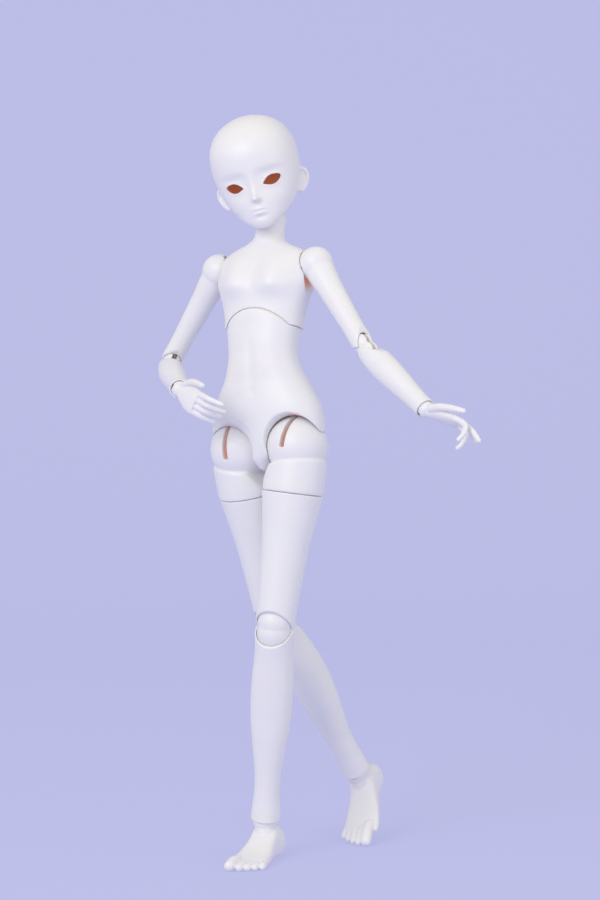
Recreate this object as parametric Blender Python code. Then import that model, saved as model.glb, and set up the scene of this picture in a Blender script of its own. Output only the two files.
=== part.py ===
"""Ball jointed doll of hollow cast resin, strung on elastic cord.

Each piece is built about its own joint centre, hanging straight down with its front
towards -Y, and is then carried by an empty that stands on the joint. The empties hold
the pose. Right-hand pieces are the left-hand ones mirrored.
"""

from math import atan2, copysign, cos, pi, radians, sin, tan

import bmesh
import bpy
from mathutils import Euler, Matrix, Vector

# Skeleton, from joint centre to joint centre
HIP_HALF_SPAN = 0.0260
PELVIS_TO_WAIST = 0.081
WAIST_TO_NECK = 0.098
NECK_SET_BACK = 0.002
SHOULDER_HALF_SPAN = 0.043
WAIST_TO_SHOULDER = 0.060
UPPER_ARM_LENGTH = 0.082
ELBOW_LINK = 0.009
FOREARM_LENGTH = 0.076
THIGH_LENGTH = 0.136
KNEE_LINK = 0.008
SHIN_LENGTH = 0.154
ANKLE_HEIGHT = 0.030

# Balls of the joints
WAIST_BALL = 0.0335
NECK_BALL = 0.012
SHOULDER_BALL = 0.0135
ELBOW_BALL = 0.0080
WRIST_BALL = 0.0064
HIP_BALL = 0.0238
KNEE_BALL = 0.0152
ANKLE_BALL = 0.0100
ELBOW_SQUEEZE = 0.86
KNEE_SQUEEZE = 0.88

# Fits and walls
CLEARANCE = 0.0004
SEAM = 0.0004
OVERRUN = 0.004
HEAD_WALL = 0.0042
LIMB_BORE = 0.0040
NECK_BORE = 0.0046
SLOT_HALF_WIDTH = 0.0024

# Elastic and hooks
CORD_RADIUS = 0.0016
WIRE_RADIUS = 0.0009
HOOK_EYE = 0.0024
BAR_RADIUS = 0.0011
HOOK_RISE = 0.0075

# Facets
LIMB_SIDES = 14
BALL_SIDES = 12
BALL_RINGS = 8
LARGE_SIDES = 16
LARGE_RINGS = 10
DOME_SIDES = 24
DOME_RINGS = 16
FINE_SIDES = 6

# The pose, in degrees
PELVIS_AT = (-0.03402, 0.00129, 0.32197)
PELVIS_TURN = (-1.1, -4.1, -32.0)
LUMBAR_CURVE = -10.2
CHEST_TURN = 3.5
HEAD_POSE = {"turn": 19.0, "nod": 19.3, "tilt": -11.4}
ARM_POSE = {
    "left": {"swing": -6.4, "raise": -35.3, "twist": 66.0, "elbow": 14.3},
    "right": {"swing": 14.9, "raise": 36.9, "twist": 36.0, "elbow": 101.1},
}
HAND_POSE = {"left": (32.0, -22.0, -10.0), "right": (-90.0, 46.0, 0.0)}
LEG_POSE = {
    "left": {"spread": 8.5, "swing": 5.4, "twist": 14.8, "knee": 14.7},
    "right": {"spread": -1.2, "swing": -14.0, "twist": -10.9, "knee": 20.7},
}
FOOT_POSE = {"left": (-0.91, -9.44, -6.06), "right": (21.23, 2.08, 1.8)}
SIDE = {"left": 1, "right": -1}


def clear_scene():
    for obj in list(bpy.data.objects):
        bpy.data.objects.remove(obj)


def material(name, colour, roughness, metallic=0.0):
    made = bpy.data.materials.new(name)
    made.use_nodes = True
    shader = made.node_tree.nodes["Principled BSDF"]
    shader.inputs["Base Color"].default_value = (*colour, 1.0)
    shader.inputs["Roughness"].default_value = roughness
    shader.inputs["Metallic"].default_value = metallic
    return made


# Solids

def object_from(bm, name):
    bmesh.ops.recalc_face_normals(bm, faces=bm.faces[:])
    mesh = bpy.data.meshes.new(name)
    bm.to_mesh(mesh)
    bm.free()
    obj = bpy.data.objects.new(name, mesh)
    bpy.context.scene.collection.objects.link(obj)
    return obj


def smoothed(stations, steps):
    """Stations with others between them, on a smooth curve through all of them."""
    ends = [stations[0], *stations, stations[-1]]
    found = []
    for before, here, after, beyond in zip(ends, ends[1:], ends[2:], ends[3:]):
        for step in range(steps):
            t = step / steps
            found.append(tuple(
                b + (c - a) * t / 2 + (2 * a - 5 * b + 4 * c - d) * t * t / 2
                + (3 * b - a - 3 * c + d) * t ** 3 / 2
                for a, b, c, d in zip(before, here, after, beyond)))
    return [*found, stations[-1]]


def around(sides):
    return [2 * pi * (i + 0.5) / sides for i in range(sides)]


def ring(station, angles, power):
    """A level ring: (height, half width, front, back) and maybe (shift to the side, forward)."""
    height, wide, front, back, aside, ahead = (*station, 0.0, 0.0)[:6]
    points = []
    for angle in angles:
        across, along = cos(angle), sin(angle)
        depth = back if along > 0 else front
        points.append(Vector((
            aside + wide * copysign(abs(across) ** (2 / power), across),
            -ahead + depth * copysign(abs(along) ** (2 / power), along),
            height)))
    return points


def skin(name, rings):
    """A closed skin over rings of equal count, with a flat cap on each end."""
    bm = bmesh.new()
    loops = [[bm.verts.new(point) for point in points] for points in rings]
    for low, high in zip(loops, loops[1:]):
        for i in range(len(low)):
            j = (i + 1) % len(low)
            bm.faces.new((low[i], low[j], high[j], high[i]))
    bm.faces.new(loops[0])
    bm.faces.new(loops[-1])
    return object_from(bm, name)


def body(name, stations, steps=1, sides=LIMB_SIDES, power=2.0):
    return skin(name, [ring(s, around(sides), power) for s in smoothed(stations, steps)])


def ball(name, radius, squeeze=1.0, at=(0, 0, 0), sides=BALL_SIDES, rings=BALL_RINGS):
    bm = bmesh.new()
    shape = Matrix.Translation(at) @ Matrix.Diagonal((squeeze, 1, 1, 1))
    bmesh.ops.create_uvsphere(bm, u_segments=sides, v_segments=rings, radius=radius,
                              matrix=shape)
    return object_from(bm, name)


def cup(radius, squeeze=1.0, at=(0, 0, 0), sides=BALL_SIDES, rings=BALL_RINGS):
    """The cutter for a ball's cup, whose flat facets all clear the ball."""
    grown = 1 / (cos(pi / sides) * cos(pi / (2 * rings)))
    return ball("cup", (radius + CLEARANCE) * grown, squeeze, at, sides, rings)


def snug(radius, sides=LARGE_SIDES):
    """The radius of a round hole of flat facets that clears a peg of this radius."""
    return (radius + CLEARANCE) / cos(pi / sides)


def rod(name, start, end, radius, sides=FINE_SIDES * 2):
    start, end = Vector(start), Vector(end)
    along = end - start
    place = Matrix.Translation((start + end) / 2) @ along.to_track_quat("Z", "Y").to_matrix().to_4x4()
    bm = bmesh.new()
    bmesh.ops.create_cone(bm, cap_ends=True, segments=sides, radius1=radius, radius2=radius,
                          depth=along.length, matrix=place)
    return object_from(bm, name)


def prism(name, outline, low, high, plane="YZ"):
    """An outline pushed from low to high across its plane."""
    order = {"YZ": lambda a, b, c: (c, a, b), "XY": lambda a, b, c: (a, b, c),
             "XZ": lambda a, b, c: (a, c, b)}[plane]
    return skin(name, [[Vector(order(a, b, level)) for a, b in outline]
                       for level in (low, high)])


def combine(base, others, operation):
    """The base joined with or cut by the others, which are used up."""
    for other in others:
        step = base.modifiers.new(operation, "BOOLEAN")
        step.operation = operation
        step.solver = "EXACT"
        step.object = other
    graph = bpy.context.evaluated_depsgraph_get()
    mesh = bpy.data.meshes.new_from_object(base.evaluated_get(graph))
    base.modifiers.clear()
    base.data = mesh
    for other in others:
        bpy.data.objects.remove(other)
    return base


def join(base, *others):
    return combine(base, others, "UNION")


def cut(base, *others):
    return combine(base, others, "DIFFERENCE")


def sector(radius, first, last, half_width=SLOT_HALF_WIDTH, steps=6):
    """A slot cutter: a wedge of a disc in the YZ plane, by angles from +Z towards the front."""
    reach = radius + OVERRUN
    angles = [radians(first + (last - first) * i / steps) for i in range(steps + 1)]
    middle = (angles[0] + angles[-1]) / 2
    heel = (half_width * sin(middle), -half_width * cos(middle))
    side = [(-half_width * cos(a) * turn, -half_width * sin(a) * turn)
            for a, turn in ((angles[0], -1), (angles[-1], 1))]
    arc = [(-reach * sin(a), reach * cos(a)) for a in angles]
    first_edge = (arc[0][0] + side[0][0], arc[0][1] + side[0][1])
    last_edge = (arc[-1][0] + side[1][0], arc[-1][1] + side[1][1])
    outline = [side[0], first_edge, *arc[1:-1], last_edge, side[1], heel]
    return prism("slot", outline, -half_width, half_width)


def fold_cut(level, up, front_slope, back_slope, reach):
    """The cutter that opens a limb's end for folding: all that lies past two slopes."""
    front = up * reach * tan(radians(front_slope))
    back = up * reach * tan(radians(back_slope))
    outline = [(0.0, level), (-reach, level + front), (-reach, level - up * 2 * reach),
               (reach, level - up * 2 * reach), (reach, level + back)]
    return prism("fold", outline, -reach, reach)


def slab(low, high, reach):
    outline = [(-reach, low), (reach, low), (reach, high), (-reach, high)]
    return prism("slab", outline, -reach, reach)


def cord(name, start, end, round_start=True):
    """One stretch of elastic: a round end on the joint it turns about, a flat end on the other."""
    start, end = Vector(start), Vector(end)
    along = (end - start).normalized()
    frame = Matrix.Translation(start) @ along.to_track_quat("Z", "Y").to_matrix().to_4x4()
    length = (end - start).length
    stations = []
    if round_start:
        for step in range(3):
            angle = pi / 2 * (1 - (step + 0.35) / 3.35)
            stations.append((-CORD_RADIUS * sin(angle), CORD_RADIUS * cos(angle)))
    stations += [(0.0, CORD_RADIUS), (length, CORD_RADIUS)]
    rings = [[frame @ p for p in ring((z, r, r, r), around(FINE_SIDES), 2.0)] for z, r in stations]
    return skin(name, rings)


def chest_arm_cord():
    """The stretch from arm to arm, which bows round the torso's elastic in front."""
    inside = SHOULDER_HALF_SPAN - SHOULDER_BALL - SEAM
    bow = CORD_RADIUS * 2 + CLEARANCE * 2
    points = [Vector((inside * along, -bow * cos(along * pi / 2) ** 4, WAIST_TO_SHOULDER))
              for along in (-1.0, -0.7, -0.4, -0.15, 0.15, 0.4, 0.7, 1.0)]
    rings = []
    for i, point in enumerate(points):
        ahead = points[min(i + 1, len(points) - 1)] - points[max(i - 1, 0)]
        turn = ahead.to_track_quat("Z", "Y").to_matrix()
        rings.append([point + turn @ p for p in ring((0.0, *(3 * (CORD_RADIUS,))), around(FINE_SIDES), 2.0)])
    return skin("arm", rings)


def wire(name, points):
    """A bent wire hook: a curve with a round bevel and filled ends."""
    curve = bpy.data.curves.new(name, "CURVE")
    curve.dimensions = "3D"
    curve.bevel_depth = WIRE_RADIUS
    curve.bevel_resolution = 1
    curve.use_fill_caps = True
    spline = curve.splines.new("POLY")
    spline.points.add(len(points) - 1)
    for point, place in zip(spline.points, points):
        point.co = (*place, 1.0)
    obj = bpy.data.objects.new(name, curve)
    bpy.context.scene.collection.objects.link(obj)
    return obj


def mirrored(obj):
    obj.data.transform(Matrix.Diagonal((-1, 1, 1, 1)))
    obj.data.flip_normals()
    return obj


# Skeleton

def joint(name, parent, at=(0, 0, 0), turns=()):
    """An empty on a joint's centre, turned by (axis, degrees) one after the other."""
    empty = bpy.data.objects.new(name, None)
    bpy.context.scene.collection.objects.link(empty)
    empty.parent = parent
    empty.empty_display_size = CORD_RADIUS
    turned = Matrix.Identity(4)
    for axis, degrees in turns:
        turned = turned @ Matrix.Rotation(radians(degrees), 4, axis)
    empty.matrix_basis = Matrix.Translation(at) @ turned
    return empty


def build_skeleton():
    """Empties by name: each stands on the joint that moves what hangs from it."""
    bones = {}

    def add(name, parent, at=(0, 0, 0), *turns):
        bones[name] = joint(name, bones.get(parent), at, turns)

    pitch, roll, yaw = PELVIS_TURN
    add("pelvis", None, PELVIS_AT, ("Z", yaw), ("X", pitch), ("Y", roll))
    add("waist_lean", "pelvis", (0, 0, PELVIS_TO_WAIST), ("X", LUMBAR_CURVE))
    add("waist_turn", "waist_lean", (0, 0, 0), ("Z", CHEST_TURN))
    add("neck_turn", "waist_turn", (0, NECK_SET_BACK, WAIST_TO_NECK), ("Z", HEAD_POSE["turn"]))
    add("neck_nod", "neck_turn", (0, 0, 0), ("X", HEAD_POSE["nod"]))
    add("head_seat", "neck_nod", (0, 0, 0), ("Y", HEAD_POSE["tilt"]))
    for side, sign in SIDE.items():
        arm, leg = ARM_POSE[side], LEG_POSE[side]
        shoulder = (sign * SHOULDER_HALF_SPAN, 0, WAIST_TO_SHOULDER)
        fold = -arm["elbow"] / 2
        add(f"{side}_shoulder_swing", "waist_turn", shoulder, ("X", arm["swing"]))
        add(f"{side}_shoulder_raise", f"{side}_shoulder_swing", (0, 0, 0), ("Y", arm["raise"]))
        add(f"{side}_shoulder_twist", f"{side}_shoulder_raise", (0, 0, 0), ("Z", arm["twist"]))
        add(f"{side}_elbow_upper", f"{side}_shoulder_twist", (0, 0, -UPPER_ARM_LENGTH), ("X", fold))
        add(f"{side}_elbow_lower", f"{side}_elbow_upper", (0, 0, -ELBOW_LINK), ("X", fold))
        turn, bend, lean = HAND_POSE[side]
        add(f"{side}_wrist_turn", f"{side}_elbow_lower", (0, 0, -FOREARM_LENGTH), ("Z", turn))
        add(f"{side}_wrist_bend", f"{side}_wrist_turn", (0, 0, 0), ("X", bend))
        add(f"{side}_hand_seat", f"{side}_wrist_bend", (0, 0, 0), ("Y", lean))
        hip = (sign * HIP_HALF_SPAN, 0, 0)
        fold = leg["knee"] / 2
        add(f"{side}_hip_spread", "pelvis", hip, ("Y", leg["spread"]))
        add(f"{side}_hip_swing", f"{side}_hip_spread", (0, 0, 0), ("X", -leg["swing"]))
        add(f"{side}_thigh_turn", f"{side}_hip_swing", (0, 0, 0), ("Z", leg["twist"]))
        add(f"{side}_knee_upper", f"{side}_thigh_turn", (0, 0, -THIGH_LENGTH), ("X", fold))
        add(f"{side}_knee_lower", f"{side}_knee_upper", (0, 0, -KNEE_LINK), ("X", fold))
        turn, bend, lean = FOOT_POSE[side]
        add(f"{side}_ankle_turn", f"{side}_knee_lower", (0, 0, -SHIN_LENGTH), ("Z", turn))
        add(f"{side}_ankle_bend", f"{side}_ankle_turn", (0, 0, 0), ("X", bend))
        add(f"{side}_foot_seat", f"{side}_ankle_bend", (0, 0, 0), ("Y", lean))
    return bones


def hang(obj, name, bone, finish, side=None):
    """Names a finished piece and hangs it from its bone, mirrored on the right."""
    if side == "right" and obj.type == "MESH":
        mirrored(obj)
    obj.name = f"{side}_{name}" if side else name
    obj.data.name = obj.name
    obj.parent = bone
    obj.data.materials.clear()
    obj.data.materials.append(finish)
    if obj.type == "MESH":
        obj.data.shade_smooth()
        obj.data.set_sharp_from_angle(angle=radians(32))
    return obj


# Legs: half widths and depths, and their places along the thigh and shin as shares

HIP_WIDTH = 0.0240
HIP_DEPTH = 0.0232
SWIVEL_DROP = 0.0360
SWIVEL_PEG = 0.0120
SWIVEL_PEG_HEIGHT = 0.0080
THIGH_SHIFT = 0.0010
KNEE_WIDTH = 0.0152
KNEE_DEPTH = 0.0164
CREASE_SHARES = (0.98, 0.42, 0.10)
UPPER_THIGH_SHARES = ((0.12, 0.92, 0.92), (0.25, 0.97, 0.96), (0.50, 1.0, 0.98), (0.80, 1.0, 1.0), (1.0, 0.98, 1.0))
LOWER_THIGH_SHARES = ((0.0, 0.94), (0.19, 0.64), (0.42, 0.33), (0.68, 0.14), (0.86, 0.04),
                      (1.0, 0.0), (1.06, 0.0))


def upper_thigh():
    """The hip ball and the top of the thigh, slotted in front for the elastic."""
    stations = [(-SWIVEL_DROP * along, HIP_WIDTH * wide, HIP_DEPTH * deep, HIP_DEPTH * deep,
                 THIGH_SHIFT, 0.0) for along, wide, deep in UPPER_THIGH_SHARES]
    piece = body("upper_thigh", stations)
    reach = HIP_BALL * 2
    inner, middle, outer = (-SWIVEL_DROP * share for share in CREASE_SHARES)
    slope = [(-reach, inner * 2), (-HIP_WIDTH, inner), (-HIP_WIDTH * 0.5, middle), (reach, outer),
             (reach, reach), (-reach, reach)]
    seat = [(0, outer), (reach, outer - reach * 0.5), (reach, reach), (0, reach)]
    cut(piece, prism("crease", slope, -reach, reach, "XZ"), prism("seat", seat, -reach, reach))
    join(piece, ball("hip_ball", HIP_BALL, sides=LARGE_SIDES, rings=LARGE_RINGS))
    peg = (0, 0, -SWIVEL_DROP + SWIVEL_PEG_HEIGHT + SEAM)
    return cut(piece, sector(HIP_BALL, -32, 90),
               rod("peg_hole", (0, 0, -SWIVEL_DROP - OVERRUN), peg, snug(SWIVEL_PEG), LARGE_SIDES),
               rod("bore", (0, 0, -SWIVEL_DROP), (0, 0, 0), LIMB_BORE))


def lower_thigh():
    """The long thigh, with a peg that turns in the upper thigh and a cup for the knee."""
    top, bottom = -SWIVEL_DROP - SEAM, -THIGH_LENGTH
    stations = [(top + (bottom - top) * along,
                 KNEE_WIDTH + (HIP_WIDTH * 1.02 - KNEE_WIDTH) * blend,
                 KNEE_DEPTH + (HIP_DEPTH - KNEE_DEPTH) * blend,
                 KNEE_DEPTH * 0.97 + (HIP_DEPTH - KNEE_DEPTH * 0.97) * blend,
                 THIGH_SHIFT * blend, 0.0) for along, blend in LOWER_THIGH_SHARES]
    piece = body("lower_thigh", stations)
    join(piece, rod("peg", (0, 0, top - OVERRUN), (0, 0, top + SWIVEL_PEG_HEIGHT), SWIVEL_PEG, LARGE_SIDES))
    knee = (0, 0, bottom)
    split = bottom - KNEE_LINK / 2 + SEAM
    return cut(piece, fold_cut(split, 1, 37, 56, HIP_WIDTH * 2),
               rod("bore", knee, (0, 0, top + SWIVEL_PEG_HEIGHT + OVERRUN), LIMB_BORE),
               cup(KNEE_BALL, KNEE_SQUEEZE, knee, LARGE_SIDES, LARGE_RINGS))


def double_ball(name, radius, squeeze, link, open_side):
    """The piece between two hinges: two balls grown together, slotted on the side that folds."""
    sides, rings = (LARGE_SIDES, LARGE_RINGS) if radius > ANKLE_BALL else (BALL_SIDES, BALL_RINGS)
    piece = ball(name, radius, squeeze, (0, 0, 0), sides, rings)
    join(piece, ball("second", radius, squeeze, (0, 0, -link), sides, rings))
    reach = radius + OVERRUN
    outline = [(-open_side * SLOT_HALF_WIDTH, reach), (open_side * reach, reach),
               (open_side * reach, -link - reach), (-open_side * SLOT_HALF_WIDTH, -link - reach)]
    return cut(piece, prism("slot", outline, -SLOT_HALF_WIDTH, SLOT_HALF_WIDTH))


ANKLE_WIDTH = 0.0124
SHIN_SHARES = ((-0.05, 1.0, 1.0, 0.98), (0.03, 0.97, 0.98, 0.97), (0.12, 0.96, 0.90, 1.0),
               (0.24, 1.05, 0.86, 1.14), (0.36, 1.07, 0.82, 1.20), (0.50, 0.99, 0.76, 1.10),
               (0.64, 0.84, 0.70, 0.90), (0.78, 0.71, 0.65, 0.73), (0.90, 0.70, 0.66, 0.71))


def shin():
    """The calf, cupped for the knee at the top and for the ankle ball at the cuff."""
    stations = [(-SHIN_LENGTH * along, KNEE_WIDTH * wide, KNEE_DEPTH * front, KNEE_DEPTH * back)
                for along, wide, front, back in SHIN_SHARES]
    cuff = -SHIN_LENGTH + ANKLE_BALL * 0.15
    stations += [(cuff + ANKLE_WIDTH * 0.6, ANKLE_WIDTH * 0.95, ANKLE_WIDTH * 0.95, ANKLE_WIDTH),
                 (cuff, ANKLE_WIDTH, ANKLE_WIDTH, ANKLE_WIDTH)]
    piece = body("shin", stations)
    split = KNEE_LINK / 2 - SEAM
    ankle = (0, 0, -SHIN_LENGTH)
    return cut(piece, fold_cut(split, -1, 37, 56, HIP_WIDTH * 2),
               rod("bore", (0, 0, 0), ankle, LIMB_BORE),
               cup(KNEE_BALL, KNEE_SQUEEZE, sides=LARGE_SIDES, rings=LARGE_RINGS),
               cup(ANKLE_BALL, 1.0, ankle))


def barred_slot(piece, radius, first, last):
    """Cuts a ball's slot and sets the bar that the hook holds across it."""
    cut(piece, sector(radius, first, last),
        rod("well", (-SLOT_HALF_WIDTH, 0, 0), (SLOT_HALF_WIDTH, 0, 0),
            HOOK_EYE + WIRE_RADIUS + CLEARANCE))
    reach = SLOT_HALF_WIDTH + BAR_RADIUS
    return join(piece, rod("bar", (-reach, 0, 0), (reach, 0, 0), BAR_RADIUS, FINE_SIDES))


FOOT_LENGTH = 0.0860
FOOT_WIDTH = 0.0150
HEEL_SHARE = 0.29
SOLE_FLAT = 0.0010
FOOT_SHARES = ((0.0, 0.0, 0.26, 0.28, 0.62), (0.03, 0.0, 0.56, 0.05, 0.80),
               (0.12, 0.0, 0.72, 0.0, 1.02), (0.28, 0.0, 0.72, 0.0, 1.16),
               (0.40, -0.03, 0.78, 0.0, 0.80), (0.56, -0.06, 0.92, 0.0, 0.48),
               (0.72, -0.08, 1.02, 0.0, 0.32), (0.80, -0.08, 0.98, 0.0, 0.25))
TOE_SHARES = ((-0.66, 0.300, 1.00), (-0.17, 0.212, 0.965), (0.20, 0.198, 0.93),
              (0.54, 0.186, 0.89), (0.85, 0.176, 0.84))


def foot():
    """A bare foot of five toes on a flat sole, with the ankle ball on top."""
    heel = FOOT_LENGTH * HEEL_SHARE
    rings = []
    for along, aside, wide, low, high in smoothed(FOOT_SHARES, 1):
        bottom, top = -ANKLE_HEIGHT * (1 - low) - SOLE_FLAT, -ANKLE_HEIGHT * (1 - high * 0.8)
        middle = (top + bottom) / 2
        level = ring((0.0, FOOT_WIDTH * wide, (top - bottom) / 2, (top - bottom) / 2),
                     around(LIMB_SIDES), 2.6)
        rings.append([Vector((p.x + aside * FOOT_WIDTH, heel - FOOT_LENGTH * along, middle + p.y))
                      for p in level])
    piece = skin("foot", rings)
    neck = [(-ANKLE_HEIGHT * 0.72, ANKLE_BALL, ANKLE_BALL * 1.35, ANKLE_BALL * 1.15, 0.0, 0.0),
            (-ANKLE_HEIGHT * 0.45, ANKLE_BALL * 0.93, ANKLE_BALL * 1.05, ANKLE_BALL, 0.0, 0.0),
            (-ANKLE_BALL * 0.5, ANKLE_BALL * 0.84, ANKLE_BALL * 0.86, ANKLE_BALL * 0.84, 0.0, 0.0)]
    join(piece, body("instep", neck, 1), ball("ankle_ball", ANKLE_BALL))
    for aside, size, along in TOE_SHARES:
        radius = FOOT_WIDTH * size
        root = Vector((aside * FOOT_WIDTH * 0.94, heel - FOOT_LENGTH * 0.74, radius * 1.1 - ANKLE_HEIGHT))
        tip = Vector((aside * FOOT_WIDTH, heel - FOOT_LENGTH * along + radius, radius * 0.9 - ANKLE_HEIGHT))
        join(piece, finger("toe", [root, (root * 0.5 + tip * 0.5) + Vector((0, 0, radius * 0.25)), tip],
                           radius * 1.05, radius * 0.92))
    barred_slot(piece, ANKLE_BALL, -48, 75)
    return cut(piece, slab(-ANKLE_HEIGHT * 2, -ANKLE_HEIGHT, FOOT_LENGTH))


def finger(name, points, root_radius, tip_radius, sides=FINE_SIDES):
    """A tapering digit along its joints, with a round tip."""
    rings = []
    last = len(points) - 1
    for i, point in enumerate(points):
        ahead = (points[min(i + 1, last)] - points[max(i - 1, 0)]).normalized()
        turn = ahead.to_track_quat("Z", "Y").to_matrix()
        radius = root_radius + (tip_radius - root_radius) * i / last
        sizes = [(0.0, radius)]
        if i == last:
            sizes += [(radius * 0.55, radius * 0.84), (radius * 0.92, radius * 0.38)]
        for out, size in sizes:
            rings.append([point + turn @ p for p in ring((out, size, size, size), around(sides), 2.0)])
    return skin(name, rings)


# Arms

SHOULDER_WIDTH = 0.0112
ELBOW_WIDTH = 0.0080
WRIST_WIDTH = 0.0078
FOREARM_SWELL = 0.0106
UPPER_ARM_SHARES = ((0.04, 1.04), (0.14, 1.0), (0.30, 0.62), (0.55, 0.34), (0.80, 0.08),
                    (1.0, 0.12), (1.08, 0.10))
FOREARM_SHARES = ((-0.08, 0.0, 0.10), (0.06, 0.0, 0.55), (0.18, 0.0, 0.92), (0.32, 0.0, 1.0),
                  (0.52, 0.30, 0.70), (0.74, 0.75, 0.20), (0.90, 1.0, 0.0), (1.0, 1.0, 0.06))
SHOULDER_TWIST_REACH = 75
ARM_REST = radians(12)


def upper_arm():
    """The shoulder ball and upper arm, open on the inner side and top for the elastic."""
    stations = [(-UPPER_ARM_LENGTH * along, *(3 * (ELBOW_WIDTH + (SHOULDER_WIDTH - ELBOW_WIDTH) * blend,)))
                for along, blend in UPPER_ARM_SHARES]
    piece = body("upper_arm", stations)
    join(piece, ball("shoulder_ball", SHOULDER_BALL))
    elbow = (0, 0, -UPPER_ARM_LENGTH)
    split = -UPPER_ARM_LENGTH - ELBOW_LINK / 2 + SEAM
    return cut(piece, fold_cut(split, 1, 60, 36, SHOULDER_BALL * 3),
               rod("bore", elbow, (0, 0, 0), LIMB_BORE),
               cup(ELBOW_BALL, ELBOW_SQUEEZE, elbow))


def forearm():
    stations = [(-FOREARM_LENGTH * along,
                 *(3 * (ELBOW_WIDTH + (WRIST_WIDTH - ELBOW_WIDTH) * blend
                        + (FOREARM_SWELL - ELBOW_WIDTH) * swell,)))
                for along, blend, swell in FOREARM_SHARES]
    piece = body("forearm", stations)
    wrist = (0, 0, -FOREARM_LENGTH)
    rim = -FOREARM_LENGTH + WRIST_BALL * 0.2
    return cut(piece, fold_cut(ELBOW_LINK / 2 - SEAM, -1, 60, 36, SHOULDER_BALL * 3),
               slab(rim - SHOULDER_BALL, rim, SHOULDER_BALL),
               rod("bore", (0, 0, 0), wrist, LIMB_BORE),
               cup(ELBOW_BALL, ELBOW_SQUEEZE), cup(WRIST_BALL, 1.0, wrist))


def arm_slot():
    """The opening of the shoulder ball: a wedge that the elastic sweeps as the arm twists."""
    reach = SHOULDER_BALL + OVERRUN
    spread = SLOT_HALF_WIDTH + reach * tan(radians(SHOULDER_TWIST_REACH / 2))
    outline = [(SLOT_HALF_WIDTH, -SLOT_HALF_WIDTH), (SLOT_HALF_WIDTH, SLOT_HALF_WIDTH),
               (-reach, spread), (-reach, -spread)]
    return prism("arm_slot", outline, -SLOT_HALF_WIDTH, reach, "XY")


PALM_LENGTH = 0.0290
PALM_WIDTH = 0.0100
PALM_THICKNESS = 0.0044
PALM_SHARES = ((0.0, 0.52, 1.20), (0.18, 0.56, 1.12), (0.38, 0.80, 1.04), (0.62, 0.98, 1.0),
               (0.86, 1.0, 0.88), (1.0, 0.94, 0.66))
FINGER_LENGTH = 0.0250
FINGER_RADIUS = 0.0026
FINGERS = {"index": (-0.74, 0.92), "middle": (-0.26, 1.0), "ring": (0.23, 0.93), "little": (0.70, 0.74)}
PHALANX_SHARES = (0.44, 0.30, 0.26)
CURLS = {
    "left": {"index": (12, 58, 30), "middle": (8, 14, 10), "ring": (28, 50, 30), "little": (6, 16, 12)},
    "right": {"index": (2, 14, 8), "middle": (22, 26, 14), "ring": (34, 34, 20), "little": (40, 22, 10)},
}
THUMB_SHARES = ((-0.55, 0.20, -0.20), (-1.15, 0.52, -0.62), (-1.45, 0.86, -0.95), (-1.60, 1.16, -1.15))


def hand(side):
    """A hand of four fingers and a thumb, palm to the back, with the wrist ball on top."""
    stations = [(-PALM_LENGTH * along, PALM_WIDTH * wide, PALM_THICKNESS * thick, PALM_THICKNESS * thick)
                for along, wide, thick in PALM_SHARES]
    piece = body("hand", stations, 1, 12, 2.3)
    join(piece, ball("wrist_ball", WRIST_BALL))
    for name, (across, length) in FINGERS.items():
        place = Vector((across * PALM_WIDTH, 0, -PALM_LENGTH * 0.93))
        points, bend = [place.copy()], 0.0
        for share, curl in zip(PHALANX_SHARES, CURLS[side][name]):
            bend += radians(curl)
            place = place + FINGER_LENGTH * length * share * Vector((across * 0.12, sin(bend), -cos(bend)))
            points.append(place.copy())
        join(piece, finger(name, points, FINGER_RADIUS, FINGER_RADIUS * 0.68))
    thumb = [Vector((x * PALM_WIDTH, -y * PALM_THICKNESS * -1, -z * PALM_LENGTH)) for x, z, y in THUMB_SHARES]
    join(piece, finger("thumb", thumb, FINGER_RADIUS * 1.35, FINGER_RADIUS * 0.8))
    return barred_slot(piece, WRIST_BALL, -60, 60)


# Torso

CHEST_WIDTH = 0.0410
CHEST_DEPTH = 0.0225
NECK_RADIUS = 0.0120
RIM_HEIGHT = 0.0110
BUST_OUT = 0.0050
BUST_HALF_SPAN = 0.0150
BUST_HEIGHT = 0.0420
CHEST_SHARES = ((0.10, 0.83, 0.91, 0.96), (0.20, 0.85, 0.94, 0.95), (0.30, 0.88, 0.98, 0.96),
                (0.39, 0.93, 1.0, 0.98), (0.48, 1.0, 0.98, 1.0), (0.58, 1.0, 0.90, 1.0),
                (0.65, 0.97, 0.80, 0.94), (0.70, 0.87, 0.71, 0.87), (0.75, 0.66, 0.63, 0.77),
                (0.79, 0.46, 0.58, 0.67), (0.85, 0.325, 0.545, 0.57), (0.92, 0.293, 0.533, 0.535),
                (1.0, 0.293, 0.533, 0.533))



def bust(point):
    """Moves a point of the chest's front out over the breasts."""
    across = (abs(point.x) - BUST_HALF_SPAN) / (BUST_HALF_SPAN * 0.75)
    up = (point.z - BUST_HEIGHT) / (BUST_HALF_SPAN * (0.62 if point.z < BUST_HEIGHT else 0.95))
    front = min(1.0, max(0.0, -point.y / (CHEST_DEPTH * 0.5)))
    return Vector((point.x, point.y - front * BUST_OUT * 2.718281828 ** -(across ** 2 + up ** 2), point.z))


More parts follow.
